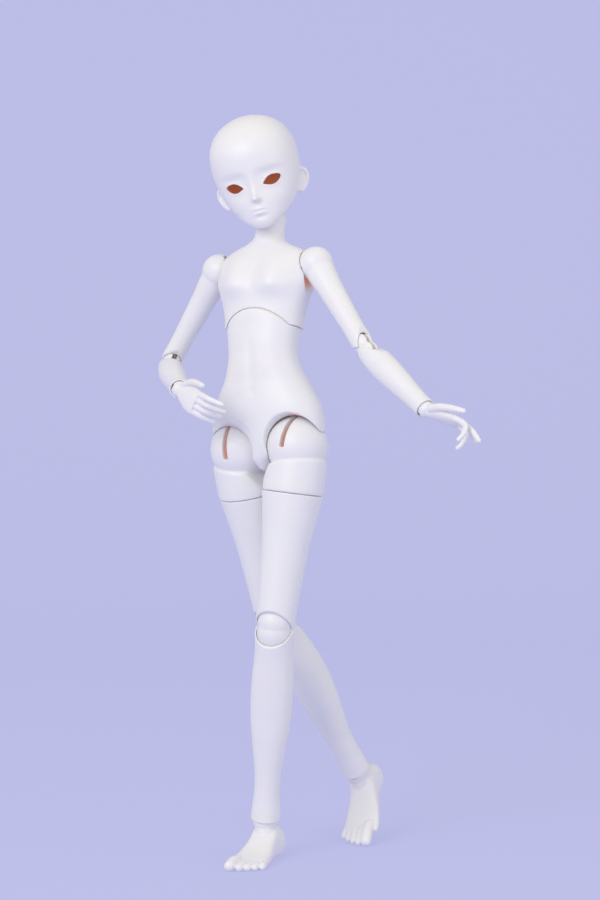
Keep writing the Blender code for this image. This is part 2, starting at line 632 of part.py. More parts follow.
def chest():
    """The rib cage and neck in one casting, hollow over the waist ball."""
    stations = [(WAIST_TO_NECK * up, CHEST_WIDTH * wide, CHEST_DEPTH * front, CHEST_DEPTH * back,
                 0.0, -NECK_SET_BACK * max(0.0, up - 0.6) / 0.4)
                for up, wide, front, back in CHEST_SHARES]
    rings = [[bust(p) for p in ring(s, around(22), 2.2)] for s in smoothed(stations, 1)]
    piece = skin("chest", rings)
    neck = Vector((0, NECK_SET_BACK, WAIST_TO_NECK))
    join(piece, ball("neck_ball", NECK_BALL, at=neck))
    for sign in SIDE.values():
        shoulder = Vector((sign * SHOULDER_HALF_SPAN, 0, WAIST_TO_SHOULDER))
        down = Vector((sign * sin(ARM_REST), 0, -cos(ARM_REST))) * SHOULDER_BALL * 2
        cut(piece, cup(SHOULDER_BALL, 1.0, shoulder),
            rod("armpit", shoulder, shoulder + down, SHOULDER_WIDTH + CLEARANCE * 2))
    across = Vector((SHOULDER_HALF_SPAN, 0, 0))
    height = Vector((0, 0, WAIST_TO_SHOULDER))
    return cut(piece, cup(WAIST_BALL, sides=DOME_SIDES, rings=DOME_RINGS),
               rod("neck_bore", (0, 0, 0), neck + Vector((0, 0, NECK_BALL * 2)), NECK_BORE),
               rod("arm_bore", height - across, height + across, LIMB_BORE * 1.1),
               ball("chamber", SHOULDER_BALL, at=height * 0.86),
               slab(-WAIST_BALL, RIM_HEIGHT, WAIST_BALL * 2))


PELVIS_WIDTH = 0.0480
PELVIS_DEPTH = 0.0240
PELVIS_SHARES = ((-0.215, 0.07, 0.36, 0.50), (-0.185, 0.12, 0.52, 0.68), (-0.107, 0.24, 0.74, 0.88),
                 (0.0, 0.72, 0.88, 1.04), (0.075, 0.96, 0.95, 1.10), (0.25, 0.98, 0.98, 1.08),
                 (0.39, 0.93, 0.96, 1.02), (0.54, 0.81, 0.91, 0.93), (0.71, 0.68, 0.86, 0.83),
                 (0.86, 0.615, 0.82, 0.78), (1.0, 0.63, 0.86, 0.82), (1.14, 0.66, 0.90, 0.88),
                 (1.25, 0.67, 0.94, 0.90), (1.50, 0.66, 0.94, 0.88))
LEG_OPENING = 0.0222
LEG_OPENING_SHIFT = 0.0044


def lumbar(point):
    """Tips the top of the lower torso back about the waist, as the spine curves."""
    start = PELVIS_TO_WAIST * 0.62
    share = min(1.0, max(0.0, (point.z - start) / (PELVIS_TO_WAIST - start)))
    ease = share * share * (3 - 2 * share)
    waist = Vector((0, 0, PELVIS_TO_WAIST))
    return waist + Matrix.Rotation(radians(LUMBAR_CURVE) * ease, 3, "X") @ (point - waist)


def lower_torso():
    """Belly and pelvis in one casting, with a dome for the chest and cups for the hips."""
    stations = smoothed([(PELVIS_TO_WAIST * up, PELVIS_WIDTH * wide, PELVIS_DEPTH * front, PELVIS_DEPTH * back)
                         for up, wide, front, back in PELVIS_SHARES], 1)
    piece = skin("lower_torso", [[lumbar(p) for p in ring(s, around(22), 2.2)] for s in stations])
    waist = Vector((0, 0, PELVIS_TO_WAIST))
    tipped = Matrix.Translation(waist) @ Matrix.Rotation(radians(LUMBAR_CURVE), 4, "X")
    ledge = slab(RIM_HEIGHT - SEAM - 0.0, WAIST_BALL * 3, WAIST_BALL * 2)
    dome = ball("dome", WAIST_BALL, sides=DOME_SIDES, rings=DOME_RINGS)
    collar = cut(ledge, dome)
    collar.data.transform(tipped)
    cut(piece, collar)
    openings = []
    for sign in SIDE.values():
        hip = Vector((sign * HIP_HALF_SPAN, 0, 0))
        front = Vector((sign * (HIP_HALF_SPAN + LEG_OPENING_SHIFT), 0, -LEG_OPENING_SHIFT / 4))
        ahead = Vector((0, -PELVIS_DEPTH * 2, 0))
        openings += [cup(HIP_BALL, 1.0, hip, LARGE_SIDES, LARGE_RINGS), rod("leg_opening", front, front + ahead, LEG_OPENING, LARGE_SIDES)]
    cut(piece, *openings)
    well = ball("well", WAIST_BALL * 0.5, at=waist)
    shaft = rod("shaft", (0, 0, PELVIS_TO_WAIST * 0.36), waist, WAIST_BALL * 0.3)
    mouth = rod("mouth", waist, waist + Vector((0, 0, WAIST_BALL * 1.5)), WAIST_BALL * 0.47)
    channels = [rod("channel", (sign * HIP_HALF_SPAN, 0, HIP_BALL * 0.9), (sign * CORD_RADIUS, 0, PELVIS_TO_WAIST), LIMB_BORE, FINE_SIDES * 2)
                for sign in SIDE.values()]
    return cut(piece, well, shaft, mouth, *channels)


# Head

HEAD_HEIGHT = 0.0835
HEAD_HALF_WIDTH = 0.0342
FACE_FRONT = 0.0342
HEAD_SHARES = ((-0.052, 0.10, 0.83, -0.57), (-0.035, 0.22, 0.90, -0.40), (0.0, 0.35, 0.94, -0.23),
                        (0.058, 0.52, 0.97, 0.11), (0.115, 0.66, 0.985, 0.51), (0.185, 0.785, 1.0, 0.74),
                        (0.277, 0.885, 1.0, 0.91), (0.39, 0.955, 1.01, 1.04), (0.53, 1.0, 1.04, 1.13),
                        (0.67, 0.983, 1.03, 1.14), (0.785, 0.90, 0.93, 1.04), (0.878, 0.745, 0.74, 0.86),
                        (0.947, 0.52, 0.50, 0.61), (0.988, 0.25, 0.23, 0.33), (1.0, 0.10, 0.06, 0.14))
EYE_HEIGHT = 0.0310
EYE_HALF_SPAN = 0.0148
EYE_HALF_WIDTH = 0.0078
EYE_HALF_HEIGHT = 0.0043
EYE_SLANT = 9
NOSE_HEIGHT = 0.0190
NOSE_OUT = 0.0062
MOUTH_HEIGHT = 0.0090
MOUTH_HALF_WIDTH = 0.0070
EAR_HEIGHT = 0.0240
EAR_HALF_LENGTH = 0.0102
CAP_TILT = 20
FACE_COLUMNS = 15
CAP_BACK = 0.0362
MAGNET_RADIUS = 0.0011
MAGNET_THICKNESS = 0.0016
MAGNET_AT = (0.0296, 0.0203, 0.0500)
HOOK_HOLE_WIDTH = 0.0055
HOOK_HOLE_DEPTH = 0.0078
NOD_SWEEP = (-8, 33, 10)


def face(point):
    """Moves a point of the head's front to shape sockets, nose, lips and chin."""
    def hump(centre, spread, value):
        return 2.718281828 ** (-((value - centre) / spread) ** 2)

    x, z = abs(point.x), point.z
    near = EYE_HALF_WIDTH
    out = -near * 0.42 * hump(EYE_HALF_SPAN * 0.94, near * 1.1, x) * hump(EYE_HEIGHT, near * 0.72, z)
    bridge = hump(NOSE_HEIGHT, NOSE_OUT * 1.25, z) if z > NOSE_HEIGHT else hump(NOSE_HEIGHT, NOSE_OUT * 0.45, z)
    slim = NOSE_OUT * (0.42 + 0.30 * hump(NOSE_HEIGHT, NOSE_OUT, z))
    out += NOSE_OUT * (0.86 * bridge + 0.22 * hump(EYE_HEIGHT, near * 1.2, z)) * hump(0.0, slim, x)
    lips = hump(MOUTH_HEIGHT + MOUTH_HALF_WIDTH * 0.25, MOUTH_HALF_WIDTH * 0.2, z)
    lips += 1.1 * hump(MOUTH_HEIGHT - MOUTH_HALF_WIDTH * 0.27, MOUTH_HALF_WIDTH * 0.22, z)
    out += MOUTH_HALF_WIDTH * 0.24 * lips * hump(0.0, MOUTH_HALF_WIDTH * 0.75, x)
    out += MOUTH_HALF_WIDTH * 0.18 * hump(0.0, MOUTH_HALF_WIDTH * 0.6, z) * hump(0.0, MOUTH_HALF_WIDTH, x)
    front = max(0.0, -point.y / FACE_FRONT)
    return Vector((point.x, point.y - out * min(1.0, front * 1.4), point.z))


def face_angles():
    """Places round the head, close together in front, where the face is."""
    half = [radians(90 * (i / FACE_COLUMNS) ** 1.5 + 90 * i / FACE_COLUMNS) for i in range(FACE_COLUMNS + 1)]
    return [-pi / 2 + a for a in half] + [-pi / 2 - a for a in half[-2:0:-1]]


def head_form(inset, angles, steps):
    stations = []
    for i, (up, wide, front, back) in enumerate(smoothed(HEAD_SHARES, steps)):
        if inset and not 0.15 < up < 0.93 or up > 0.45 and i % steps:
            continue
        near, far = -FACE_FRONT * front, FACE_FRONT * back
        stations.append((HEAD_HEIGHT * up, HEAD_HALF_WIDTH * wide - inset,
                         (far - near) / 2 - inset, (far - near) / 2 - inset, 0.0, -(far + near) / 2))
    rings = [ring(s, angles, 2.15) for s in stations]
    if not inset:
        rings = [[face(p) for p in points] for points in rings]
    return skin("head_form", rings)


def almond(sign):
    """The cutter for an eye opening."""
    outline = []
    slant = radians(EYE_SLANT)
    for i in range(12):
        angle = 2 * pi * i / 12
        x, z = EYE_HALF_WIDTH * cos(angle), EYE_HALF_HEIGHT * sin(angle) * (1.0 if sin(angle) > 0 else 0.85)
        z *= abs(sin(angle)) ** 0.25
        outline.append((sign * (EYE_HALF_SPAN + x * cos(slant) - z * sin(slant)),
                        EYE_HEIGHT + x * sin(slant) + z * cos(slant)))
    return prism("eye", outline, -FACE_FRONT * 1.5, -FACE_FRONT * 0.3, "XZ")


def hook_hole():
    """The hole in the head's floor, long enough for the head to nod past the hook."""
    deep = HOOK_HOLE_DEPTH
    stations = [(0.0, HOOK_HOLE_WIDTH, deep, deep, 0.0, -deep * 0.45),
                (HEAD_HEIGHT * 0.3, HOOK_HOLE_WIDTH, deep, deep, 0.0, -deep * 0.45)]
    return body("hook_hole", stations, 1, 16)


def neck_sweep():
    """Cutters that clear the neck under the head as it nods from back to front."""
    cutters = []
    for nod in range(*NOD_SWEEP):
        turned = Matrix.Rotation(radians(-HEAD_POSE["tilt"]), 3, "Y") @ Matrix.Rotation(radians(-nod), 3, "X")
        end = turned @ Vector((0, 0, -WAIST_TO_NECK * 0.5))
        cutters.append(rod("neck_room", (0, 0, 0), end, NECK_RADIUS + CLEARANCE * 2.2))
    return cutters


def ear(sign):
    bm = bmesh.new()
    size = EAR_HALF_LENGTH
    shape = (Matrix.Translation((sign * HEAD_HALF_WIDTH * 0.985, FACE_FRONT * 0.10, EAR_HEIGHT))
             @ Matrix.Rotation(sign * radians(56), 4, "Z") @ Matrix.Rotation(radians(-12), 4, "X")
             @ Matrix.Diagonal((0.26, 0.60, 1.0, 1)))
    bmesh.ops.create_uvsphere(bm, u_segments=12, v_segments=10, radius=size, matrix=shape)
    return object_from(bm, "ear")


def head_parts():
    """The face shell and the cap that lifts off its back."""
    outer = join(head_form(0.0, face_angles(), 2), ear(1), ear(-1))
    floor = ball("floor", NECK_BALL + CLEARANCE + HEAD_WALL)
    hollow = cut(head_form(HEAD_WALL, around(16), 1), floor)
    shell = cut(outer, hollow, cup(NECK_BALL),
                hook_hole(), *neck_sweep(), almond(1), almond(-1))
    tilt = radians(CAP_TILT)
    reach = HEAD_HEIGHT * 2
    cap = shell.copy()
    cap.data = shell.data.copy()
    bpy.context.scene.collection.objects.link(cap)
    pieces = []
    for obj, gap, way in ((shell, -SEAM / 2, 1), (cap, SEAM / 2, -1)):
        bm = bmesh.new()
        bmesh.ops.create_cube(bm, size=1.0, matrix=Matrix.Diagonal((reach, reach, reach, 1)))
        block = object_from(bm, "block")
        normal = Vector((0, cos(tilt), sin(tilt)))
        centre = normal * (CAP_BACK + gap + way * reach / 2)
        block.data.transform(Matrix.Translation(centre) @ Matrix.Rotation(tilt, 4, "X"))
        cut(obj, block)
        pieces.append(cut(obj, *[magnet_rod(sign, way, CLEARANCE) for sign in SIDE.values()]))
    return pieces


def magnet_rod(sign, way, room=0.0):
    """A magnet in its pocket on one side of the cap's seam, or with room the pocket's cutter."""
    tilt = radians(CAP_TILT)
    normal = Vector((0, cos(tilt), sin(tilt)))
    place = Vector((sign * MAGNET_AT[0], MAGNET_AT[1], MAGNET_AT[2]))
    place += normal * (CAP_BACK - place.dot(normal))
    face_out = 0.0 if room else SEAM
    near, far = SEAM / 2 + face_out - room, SEAM / 2 + SEAM + MAGNET_THICKNESS + room
    return rod("magnet", place - normal * near * way, place - normal * far * way,
               MAGNET_RADIUS + room, FINE_SIDES + 4)


# Assembly

def eye_arc(centre, first, last, steps):
    """Points of a wire eye in the YZ plane, by angles from +Y towards +Z."""
    return [(0.0, centre[0] + HOOK_EYE * cos(radians(first + (last - first) * i / steps)),
             centre[1] + HOOK_EYE * sin(radians(first + (last - first) * i / steps)))
            for i in range(steps + 1)]


def limb_hook(name, radius):
    """A wire with an eye round the bar of the ball and another for the elastic."""
    top = radius + HOOK_RISE
    return wire(name, [*eye_arc((0.0, 0.0), 50, -222, 6), (0.0, 0.0, HOOK_EYE * 1.75),
                       (0.0, 0.0, top - HOOK_EYE * 1.75), *eye_arc((0.0, top), -42, 230, 6)])


def hook_top(radius):
    return radius + HOOK_RISE + HOOK_EYE + WIRE_RADIUS + SEAM


def neck_hook():
    """The hook that hangs the head on the torso's elastic."""
    low = -NECK_BALL * 1.6
    high = NECK_BALL + HEAD_WALL + CLEARANCE
    bend = HOOK_EYE * 1.55
    crook = [(bend - bend * cos(radians(a)), 0.0, high + bend * 1.1 + bend * sin(radians(a)))
             for a in range(0, 181, 30)]
    return wire("neck_hook", [*eye_arc((0.0, low), 130, 402, 6), (0.0, 0.0, low + HOOK_EYE * 1.75), *crook])


def main():
    clear_scene()
    resin = material("resin", (0.86, 0.86, 0.89), 0.45)
    steel = material("hook_steel", (0.62, 0.62, 0.64), 0.3, 1.0)
    elastic = material("elastic", (0.85, 0.84, 0.82), 0.8)
    magnet = material("magnet", (0.55, 0.55, 0.57), 0.35, 1.0)
    bones = build_skeleton()

    hang(lower_torso(), "lower_torso", bones["pelvis"], resin)
    hang(chest(), "chest", bones["waist_turn"], resin)
    shell, cap = head_parts()
    hang(shell, "head", bones["head_seat"], resin)
    hang(cap, "head_cap", bones["head_seat"], resin)
    hang(neck_hook(), "neck_hook", bones["neck_turn"], steel)
    neck_foot = (0, NECK_SET_BACK, WAIST_TO_NECK - NECK_BALL * 1.6 - HOOK_EYE - WIRE_RADIUS - SEAM)
    hang(cord("torso_elastic", (0, 0, 0), neck_foot), "torso_elastic", bones["waist_lean"], elastic)
    hang(chest_arm_cord(), "chest_arm_elastic", bones["waist_turn"], elastic)
    break_length = CORD_RADIUS + SEAM
    for side, sign in SIDE.items():
        bend = [(-sign * break_length, 0, 0), (-sign * (SHOULDER_BALL - SEAM), 0, 0)]
        obj = hang(cord("bend", *bend, False), f"{side}_shoulder_elastic", bones[f"{side}_shoulder_swing"], elastic)
        hang(cord("a", (0, 0, 0), (0, 0, break_length - UPPER_ARM_LENGTH)), "upper_arm_elastic",
             bones[f"{side}_shoulder_raise"], elastic, side)
        slot = arm_slot()
        arm = upper_arm()
        slot.data.transform(Matrix.Rotation(radians(-ARM_POSE[side]["twist"] * sign), 4, "Z"))
        hang(cut(arm, slot), "upper_arm", bones[f"{side}_shoulder_twist"], resin, side)
        hang(double_ball("elbow", ELBOW_BALL, ELBOW_SQUEEZE, ELBOW_LINK, -1), "elbow",
             bones[f"{side}_elbow_upper"], resin, side)
        hang(cord("b", (0, 0, 0), (0, 0, break_length - ELBOW_LINK)), "elbow_elastic",
             bones[f"{side}_elbow_upper"], elastic, side)
        hang(forearm(), "forearm", bones[f"{side}_elbow_lower"], resin, side)
        hang(cord("c", (0, 0, 0), (0, 0, hook_top(WRIST_BALL) - FOREARM_LENGTH)), "forearm_elastic",
             bones[f"{side}_elbow_lower"], elastic, side)
        hang(limb_hook("wrist", WRIST_BALL), "wrist_hook", bones[f"{side}_wrist_turn"], steel, side)
        hang(hand(side), "hand", bones[f"{side}_hand_seat"], resin, side)

        magnets = (("head_magnet", 1), ("cap_magnet", -1))
        for name, way in magnets:
            obj = magnet_rod(sign, way)
            hang(obj, name, bones["head_seat"], magnet)
            obj.name = f"{side}_{name}"
        low = (sign * HIP_HALF_SPAN, 0, HIP_BALL + CLEARANCE * 2)
        high = (sign * (CORD_RADIUS + CLEARANCE), 0, PELVIS_TO_WAIST - CORD_RADIUS * 0.85)
        hang(cord("p", low, high, False), f"{side}_pelvis_elastic", bones["pelvis"], elastic)
        top = Vector((0, 0, HIP_BALL - SEAM))
        hang(cord("bend", (0, 0, break_length), top, False), f"{side}_hip_elastic",
             bones[f"{side}_hip_spread"], elastic)
        hang(upper_thigh(), "upper_thigh", bones[f"{side}_hip_swing"], resin, side)
        hang(cord("d", (0, 0, 0), (0, 0, break_length - THIGH_LENGTH)), "thigh_elastic",
             bones[f"{side}_hip_swing"], elastic, side)
        hang(lower_thigh(), "lower_thigh", bones[f"{side}_thigh_turn"], resin, side)
        hang(double_ball("knee", KNEE_BALL, KNEE_SQUEEZE, KNEE_LINK, 1), "knee",
             bones[f"{side}_knee_upper"], resin, side)
        hang(cord("e", (0, 0, 0), (0, 0, break_length - KNEE_LINK)), "knee_elastic",
             bones[f"{side}_knee_upper"], elastic, side)
        hang(shin(), "shin", bones[f"{side}_knee_lower"], resin, side)
        hang(cord("f", (0, 0, 0), (0, 0, hook_top(ANKLE_BALL) - SHIN_LENGTH)), "shin_elastic",
             bones[f"{side}_knee_lower"], elastic, side)
        hang(limb_hook("ankle", ANKLE_BALL), "ankle_hook", bones[f"{side}_ankle_turn"], steel, side)
        hang(foot(), "foot", bones[f"{side}_foot_seat"], resin, side)


main()
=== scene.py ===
from math import cos, pi, radians, sin, tan

import bmesh
import bpy
import numpy as np
from mathutils import Matrix, Vector
from mathutils.bvhtree import BVHTree


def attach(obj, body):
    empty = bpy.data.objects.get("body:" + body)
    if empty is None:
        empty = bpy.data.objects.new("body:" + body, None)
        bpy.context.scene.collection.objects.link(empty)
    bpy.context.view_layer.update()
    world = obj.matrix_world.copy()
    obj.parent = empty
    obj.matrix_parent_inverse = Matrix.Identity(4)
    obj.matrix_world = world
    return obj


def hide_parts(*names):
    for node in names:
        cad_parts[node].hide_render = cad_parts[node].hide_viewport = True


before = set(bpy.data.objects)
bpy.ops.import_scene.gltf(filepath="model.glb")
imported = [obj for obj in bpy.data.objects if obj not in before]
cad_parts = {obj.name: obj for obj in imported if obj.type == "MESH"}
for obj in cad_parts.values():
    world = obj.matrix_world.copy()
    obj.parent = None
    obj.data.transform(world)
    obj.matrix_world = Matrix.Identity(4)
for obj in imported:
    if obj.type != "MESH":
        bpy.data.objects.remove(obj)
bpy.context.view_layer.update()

# The studio. The doll stands alone on a pale lavender paper sweep that curves up behind it,
# lit evenly from all round, with one broad soft lamp at the upper left and a weak one right.
CAMERA_AT = (-0.01002, -2.16152, 0.42997)
CAMERA_DOWN = 2.9
LENS = 112
SWEEP_COLOUR = (0.515, 0.528, 0.800)
SWEEP_SHADE = 0.35
SWEEP_GLOW = 0.70
SWEEP_FRONT = -3.0
SWEEP_BACK = 2.6
SWEEP_BEND = 1.2
SWEEP_TOP = 4.0
SWEEP_HALF_WIDTH = 4.5
ROOM_LIGHT = (0.93, 0.92, 0.91)
ROOM_STRENGTH = 0.72
KEY_LAMP = {"at": (-1.6, -2.4, 1.7), "size": 1.6, "power": 38, "colour": (1.0, 0.99, 0.98)}
FILL_LAMP = {"at": (1.7, -1.2, 1.1), "size": 1.8, "power": 8, "colour": (1.0, 0.97, 0.95)}
AIM = Vector((0.0, 0.0, 0.33))


def placed(name, data):
    """A new object in the scene."""
    thing = bpy.data.objects.new(name, data)
    bpy.context.scene.collection.objects.link(thing)
    return thing


def finish(name):
    """A new material, and its node tree."""
    made = bpy.data.materials.new(name)
    made.use_nodes = True
    return made, made.node_tree


def feed(node, **inputs):
    """Sets a node's inputs, each to a value or joined to the output of another node."""
    for name, value in inputs.items():
        socket = node.inputs[name.replace("_", " ")]
        if isinstance(value, bpy.types.NodeSocket):
            node.id_data.links.new(value, socket)
        else:
            socket.default_value = value
    return node


camera = placed("camera", bpy.data.cameras.new("camera"))
camera.location = CAMERA_AT
camera.rotation_euler = (radians(90 - CAMERA_DOWN), 0, 0)
camera.data.lens = LENS
bpy.context.scene.camera = camera
bpy.context.scene.view_settings.view_transform = "Standard"

for number, lamp in enumerate((KEY_LAMP, FILL_LAMP)):
    light = bpy.data.lights.new(f"lamp_{number}", "AREA")
    light.size = lamp["size"]
    light.energy = lamp["power"]
    light.color = lamp["colour"]
    holder = placed(f"lamp_{number}", light)
    holder.location = lamp["at"]
    holder.rotation_euler = (AIM - Vector(lamp["at"])).to_track_quat("-Z", "Y").to_euler()

world = bpy.data.worlds.new("studio")
world.use_nodes = True
feed(world.node_tree.nodes["Background"], Color=(*ROOM_LIGHT, 1.0), Strength=ROOM_STRENGTH)
bpy.context.scene.world = world

profile = [(SWEEP_FRONT, 0.0), (SWEEP_BACK - SWEEP_BEND, 0.0)]
profile += [(SWEEP_BACK - SWEEP_BEND + SWEEP_BEND * sin(radians(a)),
             SWEEP_BEND - SWEEP_BEND * cos(radians(a))) for a in range(3, 91, 3)]
profile += [(SWEEP_BACK, SWEEP_TOP)]
sweep_mesh = bpy.data.meshes.new("sweep")
sweep_mesh.from_pydata(
    [(x, y, z) for y, z in profile for x in (-SWEEP_HALF_WIDTH, SWEEP_HALF_WIDTH)], [],
    [(2 * i, 2 * i + 1, 2 * i + 3, 2 * i + 2) for i in range(len(profile) - 1)])
sweep_mesh.shade_smooth()
sweep = placed("sweep", sweep_mesh)
paper, paper_tree = finish("sweep_paper")
feed(paper_tree.nodes["Principled BSDF"], Roughness=0.9, Specular_IOR_Level=0.0,
     Base_Color=(*(SWEEP_SHADE * part for part in SWEEP_COLOUR), 1.0),
     Emission_Color=(*SWEEP_COLOUR, 1.0), Emission_Strength=SWEEP_GLOW)
sweep_mesh.materials.append(paper)

# The lower torso. Belly and pelvis are one hollow casting of white resin, with a dome
# on top for the chest to rock on and a cup on each side for the ball of the hip.
PELVIS_AT = (-0.03402, 0.00129, 0.32197)
PELVIS_TURN = (-1.1, -4.1, -32.0)
HIP_HALF_SPAN = 0.0260
PELVIS_TO_WAIST = 0.081
LUMBAR_CURVE = -10.2
WAIST_BALL = 0.0315
HIP_BALL = 0.0238
RIM_HEIGHT = 0.0110
CLEARANCE = 0.0004
SEAM = 0.0004
CORD_RADIUS = 0.0014
CORD_BORE = 0.0040
PELVIS_WIDTH = 0.0480
PELVIS_DEPTH = 0.0240
PELVIS_SHARES = ((-0.215, 0.07, 0.36, 0.50), (-0.185, 0.12, 0.52, 0.68), (-0.107, 0.24, 0.74, 0.88),
                 (0.0, 0.72, 0.85, 1.04), (0.075, 0.98, 0.90, 1.10), (0.25, 1.01, 0.93, 1.08),
                 (0.39, 0.96, 0.93, 1.02), (0.54, 0.83, 0.90, 0.93), (0.71, 0.68, 0.86, 0.83),
                 (0.86, 0.605, 0.82, 0.78), (1.0, 0.615, 0.86, 0.82), (1.14, 0.645, 0.89, 0.88),
                 (1.25, 0.65, 0.92, 0.90), (1.50, 0.64, 0.92, 0.88))
LEG_OPENING = 0.0214
LEG_OPENING_PLACES = {1: (0.0012, 0.0, 0.0030), -1: (-0.0010, 0.0, -0.0040)}
LEG_OPENING_TURNS = {1: 12, -1: 0}
LEG_OPENING_SHARES = ((0.0, 1.0), (0.46, 1.0), (0.62, 1.03), (0.75, 1.09), (0.86, 1.22),
                      (1.0, 1.42), (2.0, 1.42))
NAVEL_HEIGHT = 0.0440
NAVEL_RADIUS = 0.0022
NAVEL_DEPTH = 0.0012
GROOVE_HEIGHT = 0.0200
GROOVE_HALF_LENGTH = 0.0160
GROOVE_HALF_WIDTH = 0.0035
GROOVE_DEPTH = 0.0010
# How deep under the outer skin the painted shade and painted glow of the resin reach their
# strongest, for the torso, chest and upper thighs.
TORSO_SHADE_DEPTH = 0.012
SIDE = {"left": 1, "right": -1}
# White is the resin's own colour; the salmon and the deep brown after it are painted shade and a
# painted orange glow for its hollows, inner walls and seams.
RESIN_WHITE = (0.885, 0.875, 0.87)
PAINTED_SHADE_SALMON = (0.68, 0.33, 0.22)
PAINTED_SHADE_DEEP = (0.20, 0.036, 0.008)
LIMB_GRAIN = 0.0006
EDGE_GRAIN = 0.0006
MOST_FACES = 60000


def resin_material():
    """Cast resin: matte white, with painted shade and a painted orange glow on surfaces that lie
    deep under the outer skin, darker and more orange the deeper they lie, in place of the light
    that passes through the resin to its inside.
    """
    made, tree = finish("cast_resin")
    new = tree.nodes.new
    place = new("ShaderNodeTexCoord").outputs["Object"]
    depth = new("ShaderNodeAttribute")
    depth.attribute_name = "depth"
    # The ramp paints deeper surfaces darker and more orange: painted shade in the hollows, also
    # used as the colour of their painted glow.
    ramp = feed(new("ShaderNodeValToRGB"), Fac=depth.outputs["Fac"])
    first, last = ramp.color_ramp.elements
    first.position, first.color = 0.10, (*RESIN_WHITE, 1.0)
    last.position, last.color = 1.0, (*PAINTED_SHADE_DEEP, 1.0)
    ramp.color_ramp.elements.new(0.40).color = (*PAINTED_SHADE_SALMON, 1.0)
    # Surfaces deep under the skin are given a painted glow of the ramp's colour, in place of light
    # passing through the resin.
    glow = feed(new("ShaderNodeMapRange"), From_Min=0.10, To_Max=0.75, Value=depth.outputs["Fac"])
    cloud = feed(new("ShaderNodeTexNoise"), Scale=55.0, Detail=3.0, Vector=place)
    # The painted shade is mottled by a faint random cloud in the resin's tone.
    mottled_shade = new("ShaderNodeMix")
    mottled_shade.data_type = "RGBA"
    mottled_shade.blend_type = "MULTIPLY"
    feed(mottled_shade, Factor=0.06, A=ramp.outputs["Color"], B=cloud.outputs["Color"])
    polish = feed(new("ShaderNodeMapRange"), To_Min=0.34, To_Max=0.50, Value=cloud.outputs["Fac"])
    sanding = feed(new("ShaderNodeTexNoise"), Scale=2600.0, Detail=2.0, Vector=place)
    bump = feed(new("ShaderNodeBump"), Strength=0.12, Distance=0.00004,
                Height=sanding.outputs["Fac"])
    feed(tree.nodes["Principled BSDF"], Subsurface_Weight=0.12, Subsurface_Scale=1.0, IOR=1.48,
         Subsurface_Radius=(0.0030, 0.0017, 0.0014), Base_Color=mottled_shade.outputs["Result"],
         Roughness=polish.outputs["Result"], Normal=bump.outputs["Normal"],
         Emission_Color=ramp.outputs["Color"], Emission_Strength=glow.outputs["Result"])
    return made


resin = resin_material()


def stand(parent, at, *turns):
    """Where a joint stands: at a point of its parent, turned by (axis, degrees) in order."""
    place = parent @ Matrix.Translation(at)
    for axis, degrees in turns:
        place = place @ Matrix.Rotation(radians(degrees), 4, axis)
    return place


def smooth_line(points, steps=8):
    """A smooth line through the points, as an array."""
    points = np.array(points, dtype=float)
    ends = np.vstack([points[:1], points, points[-1:]])
    t = (np.arange(steps) / steps)[:, None]
    spans = [b + (c - a) * t / 2 + (2 * a - 5 * b + 4 * c - d) * t ** 2 / 2
             + (3 * b - a - 3 * c + d) * t ** 3 / 2
             for a, b, c, d in zip(ends, ends[1:], ends[2:], ends[3:])]
    return np.vstack([*spans, points[-1:]])


def loft(stations, steps=10, sides=96, power=2.0):
    """Level rings of points on a smooth curve through the stations.

    A station is (height, half width, front, back) and maybe (shift to the side, forward).
    """
    sizes = smooth_line([(*station, 0.0, 0.0)[:6] for station in stations], steps)
    height, wide, front, back, aside, ahead = sizes.T[:, :, None]
    angle = 2 * pi * (np.arange(sides) + 0.5) / sides
    across = np.sign(np.cos(angle)) * np.abs(np.cos(angle)) ** (2 / power)
    along = np.sign(np.sin(angle)) * np.abs(np.sin(angle)) ** (2 / power)
    depth = np.where(along > 0, back, front)
    return np.stack([aside + wide * across, -ahead + depth * along, height + 0 * across], axis=-1)


def shell(points):
    """A closed form from rings of points, with a flat face on each end."""
    rings, sides = points.shape[:2]
    bm = bmesh.new()
    loops = [[bm.verts.new(p) for p in ring] for ring in points]
    for low, high in zip(loops, loops[1:]):
        for i in range(sides):
            j = (i + 1) % sides
            bm.faces.new((low[i], low[j], high[j], high[i]))
    bm.faces.new(loops[0])
    bm.faces.new(loops[-1])
    return form_from(bm)


def form_from(bm):
    bmesh.ops.recalc_face_normals(bm, faces=bm.faces[:])
    mesh = bpy.data.meshes.new("form")
    bm.to_mesh(mesh)
    bm.free()
    return placed("form", mesh)


def ball(radius, squeeze=1.0, at=(0, 0, 0)):
    bm = bmesh.new()
    bmesh.ops.create_uvsphere(bm, u_segments=80, v_segments=48, radius=radius,
                              matrix=Matrix.Translation(at) @ Matrix.Diagonal((squeeze, 1, 1, 1)))
    return form_from(bm)


def rod(start, end, radius):
    start, end = Vector(start), Vector(end)
    along = end - start
    place = (Matrix.Translation((start + end) / 2)
             @ along.to_track_quat("Z", "Y").to_matrix().to_4x4())
    bm = bmesh.new()
    bmesh.ops.create_cone(bm, cap_ends=True, segments=72, radius1=radius, radius2=radius,
                          depth=along.length, matrix=place)
    return form_from(bm)


def prism(outline, low, high, plane="YZ"):
    """An outline pushed from low to high across its plane."""
    order = {"YZ": lambda a, b, c: (c, a, b), "XY": lambda a, b, c: (a, b, c),
             "XZ": lambda a, b, c: (a, c, b)}[plane]
    return shell(np.array([[order(a, b, level) for a, b in outline] for level in (low, high)]))


def slab(low, high, reach):
    return prism([(-reach, low), (reach, low), (reach, high), (-reach, high)], -reach, reach)


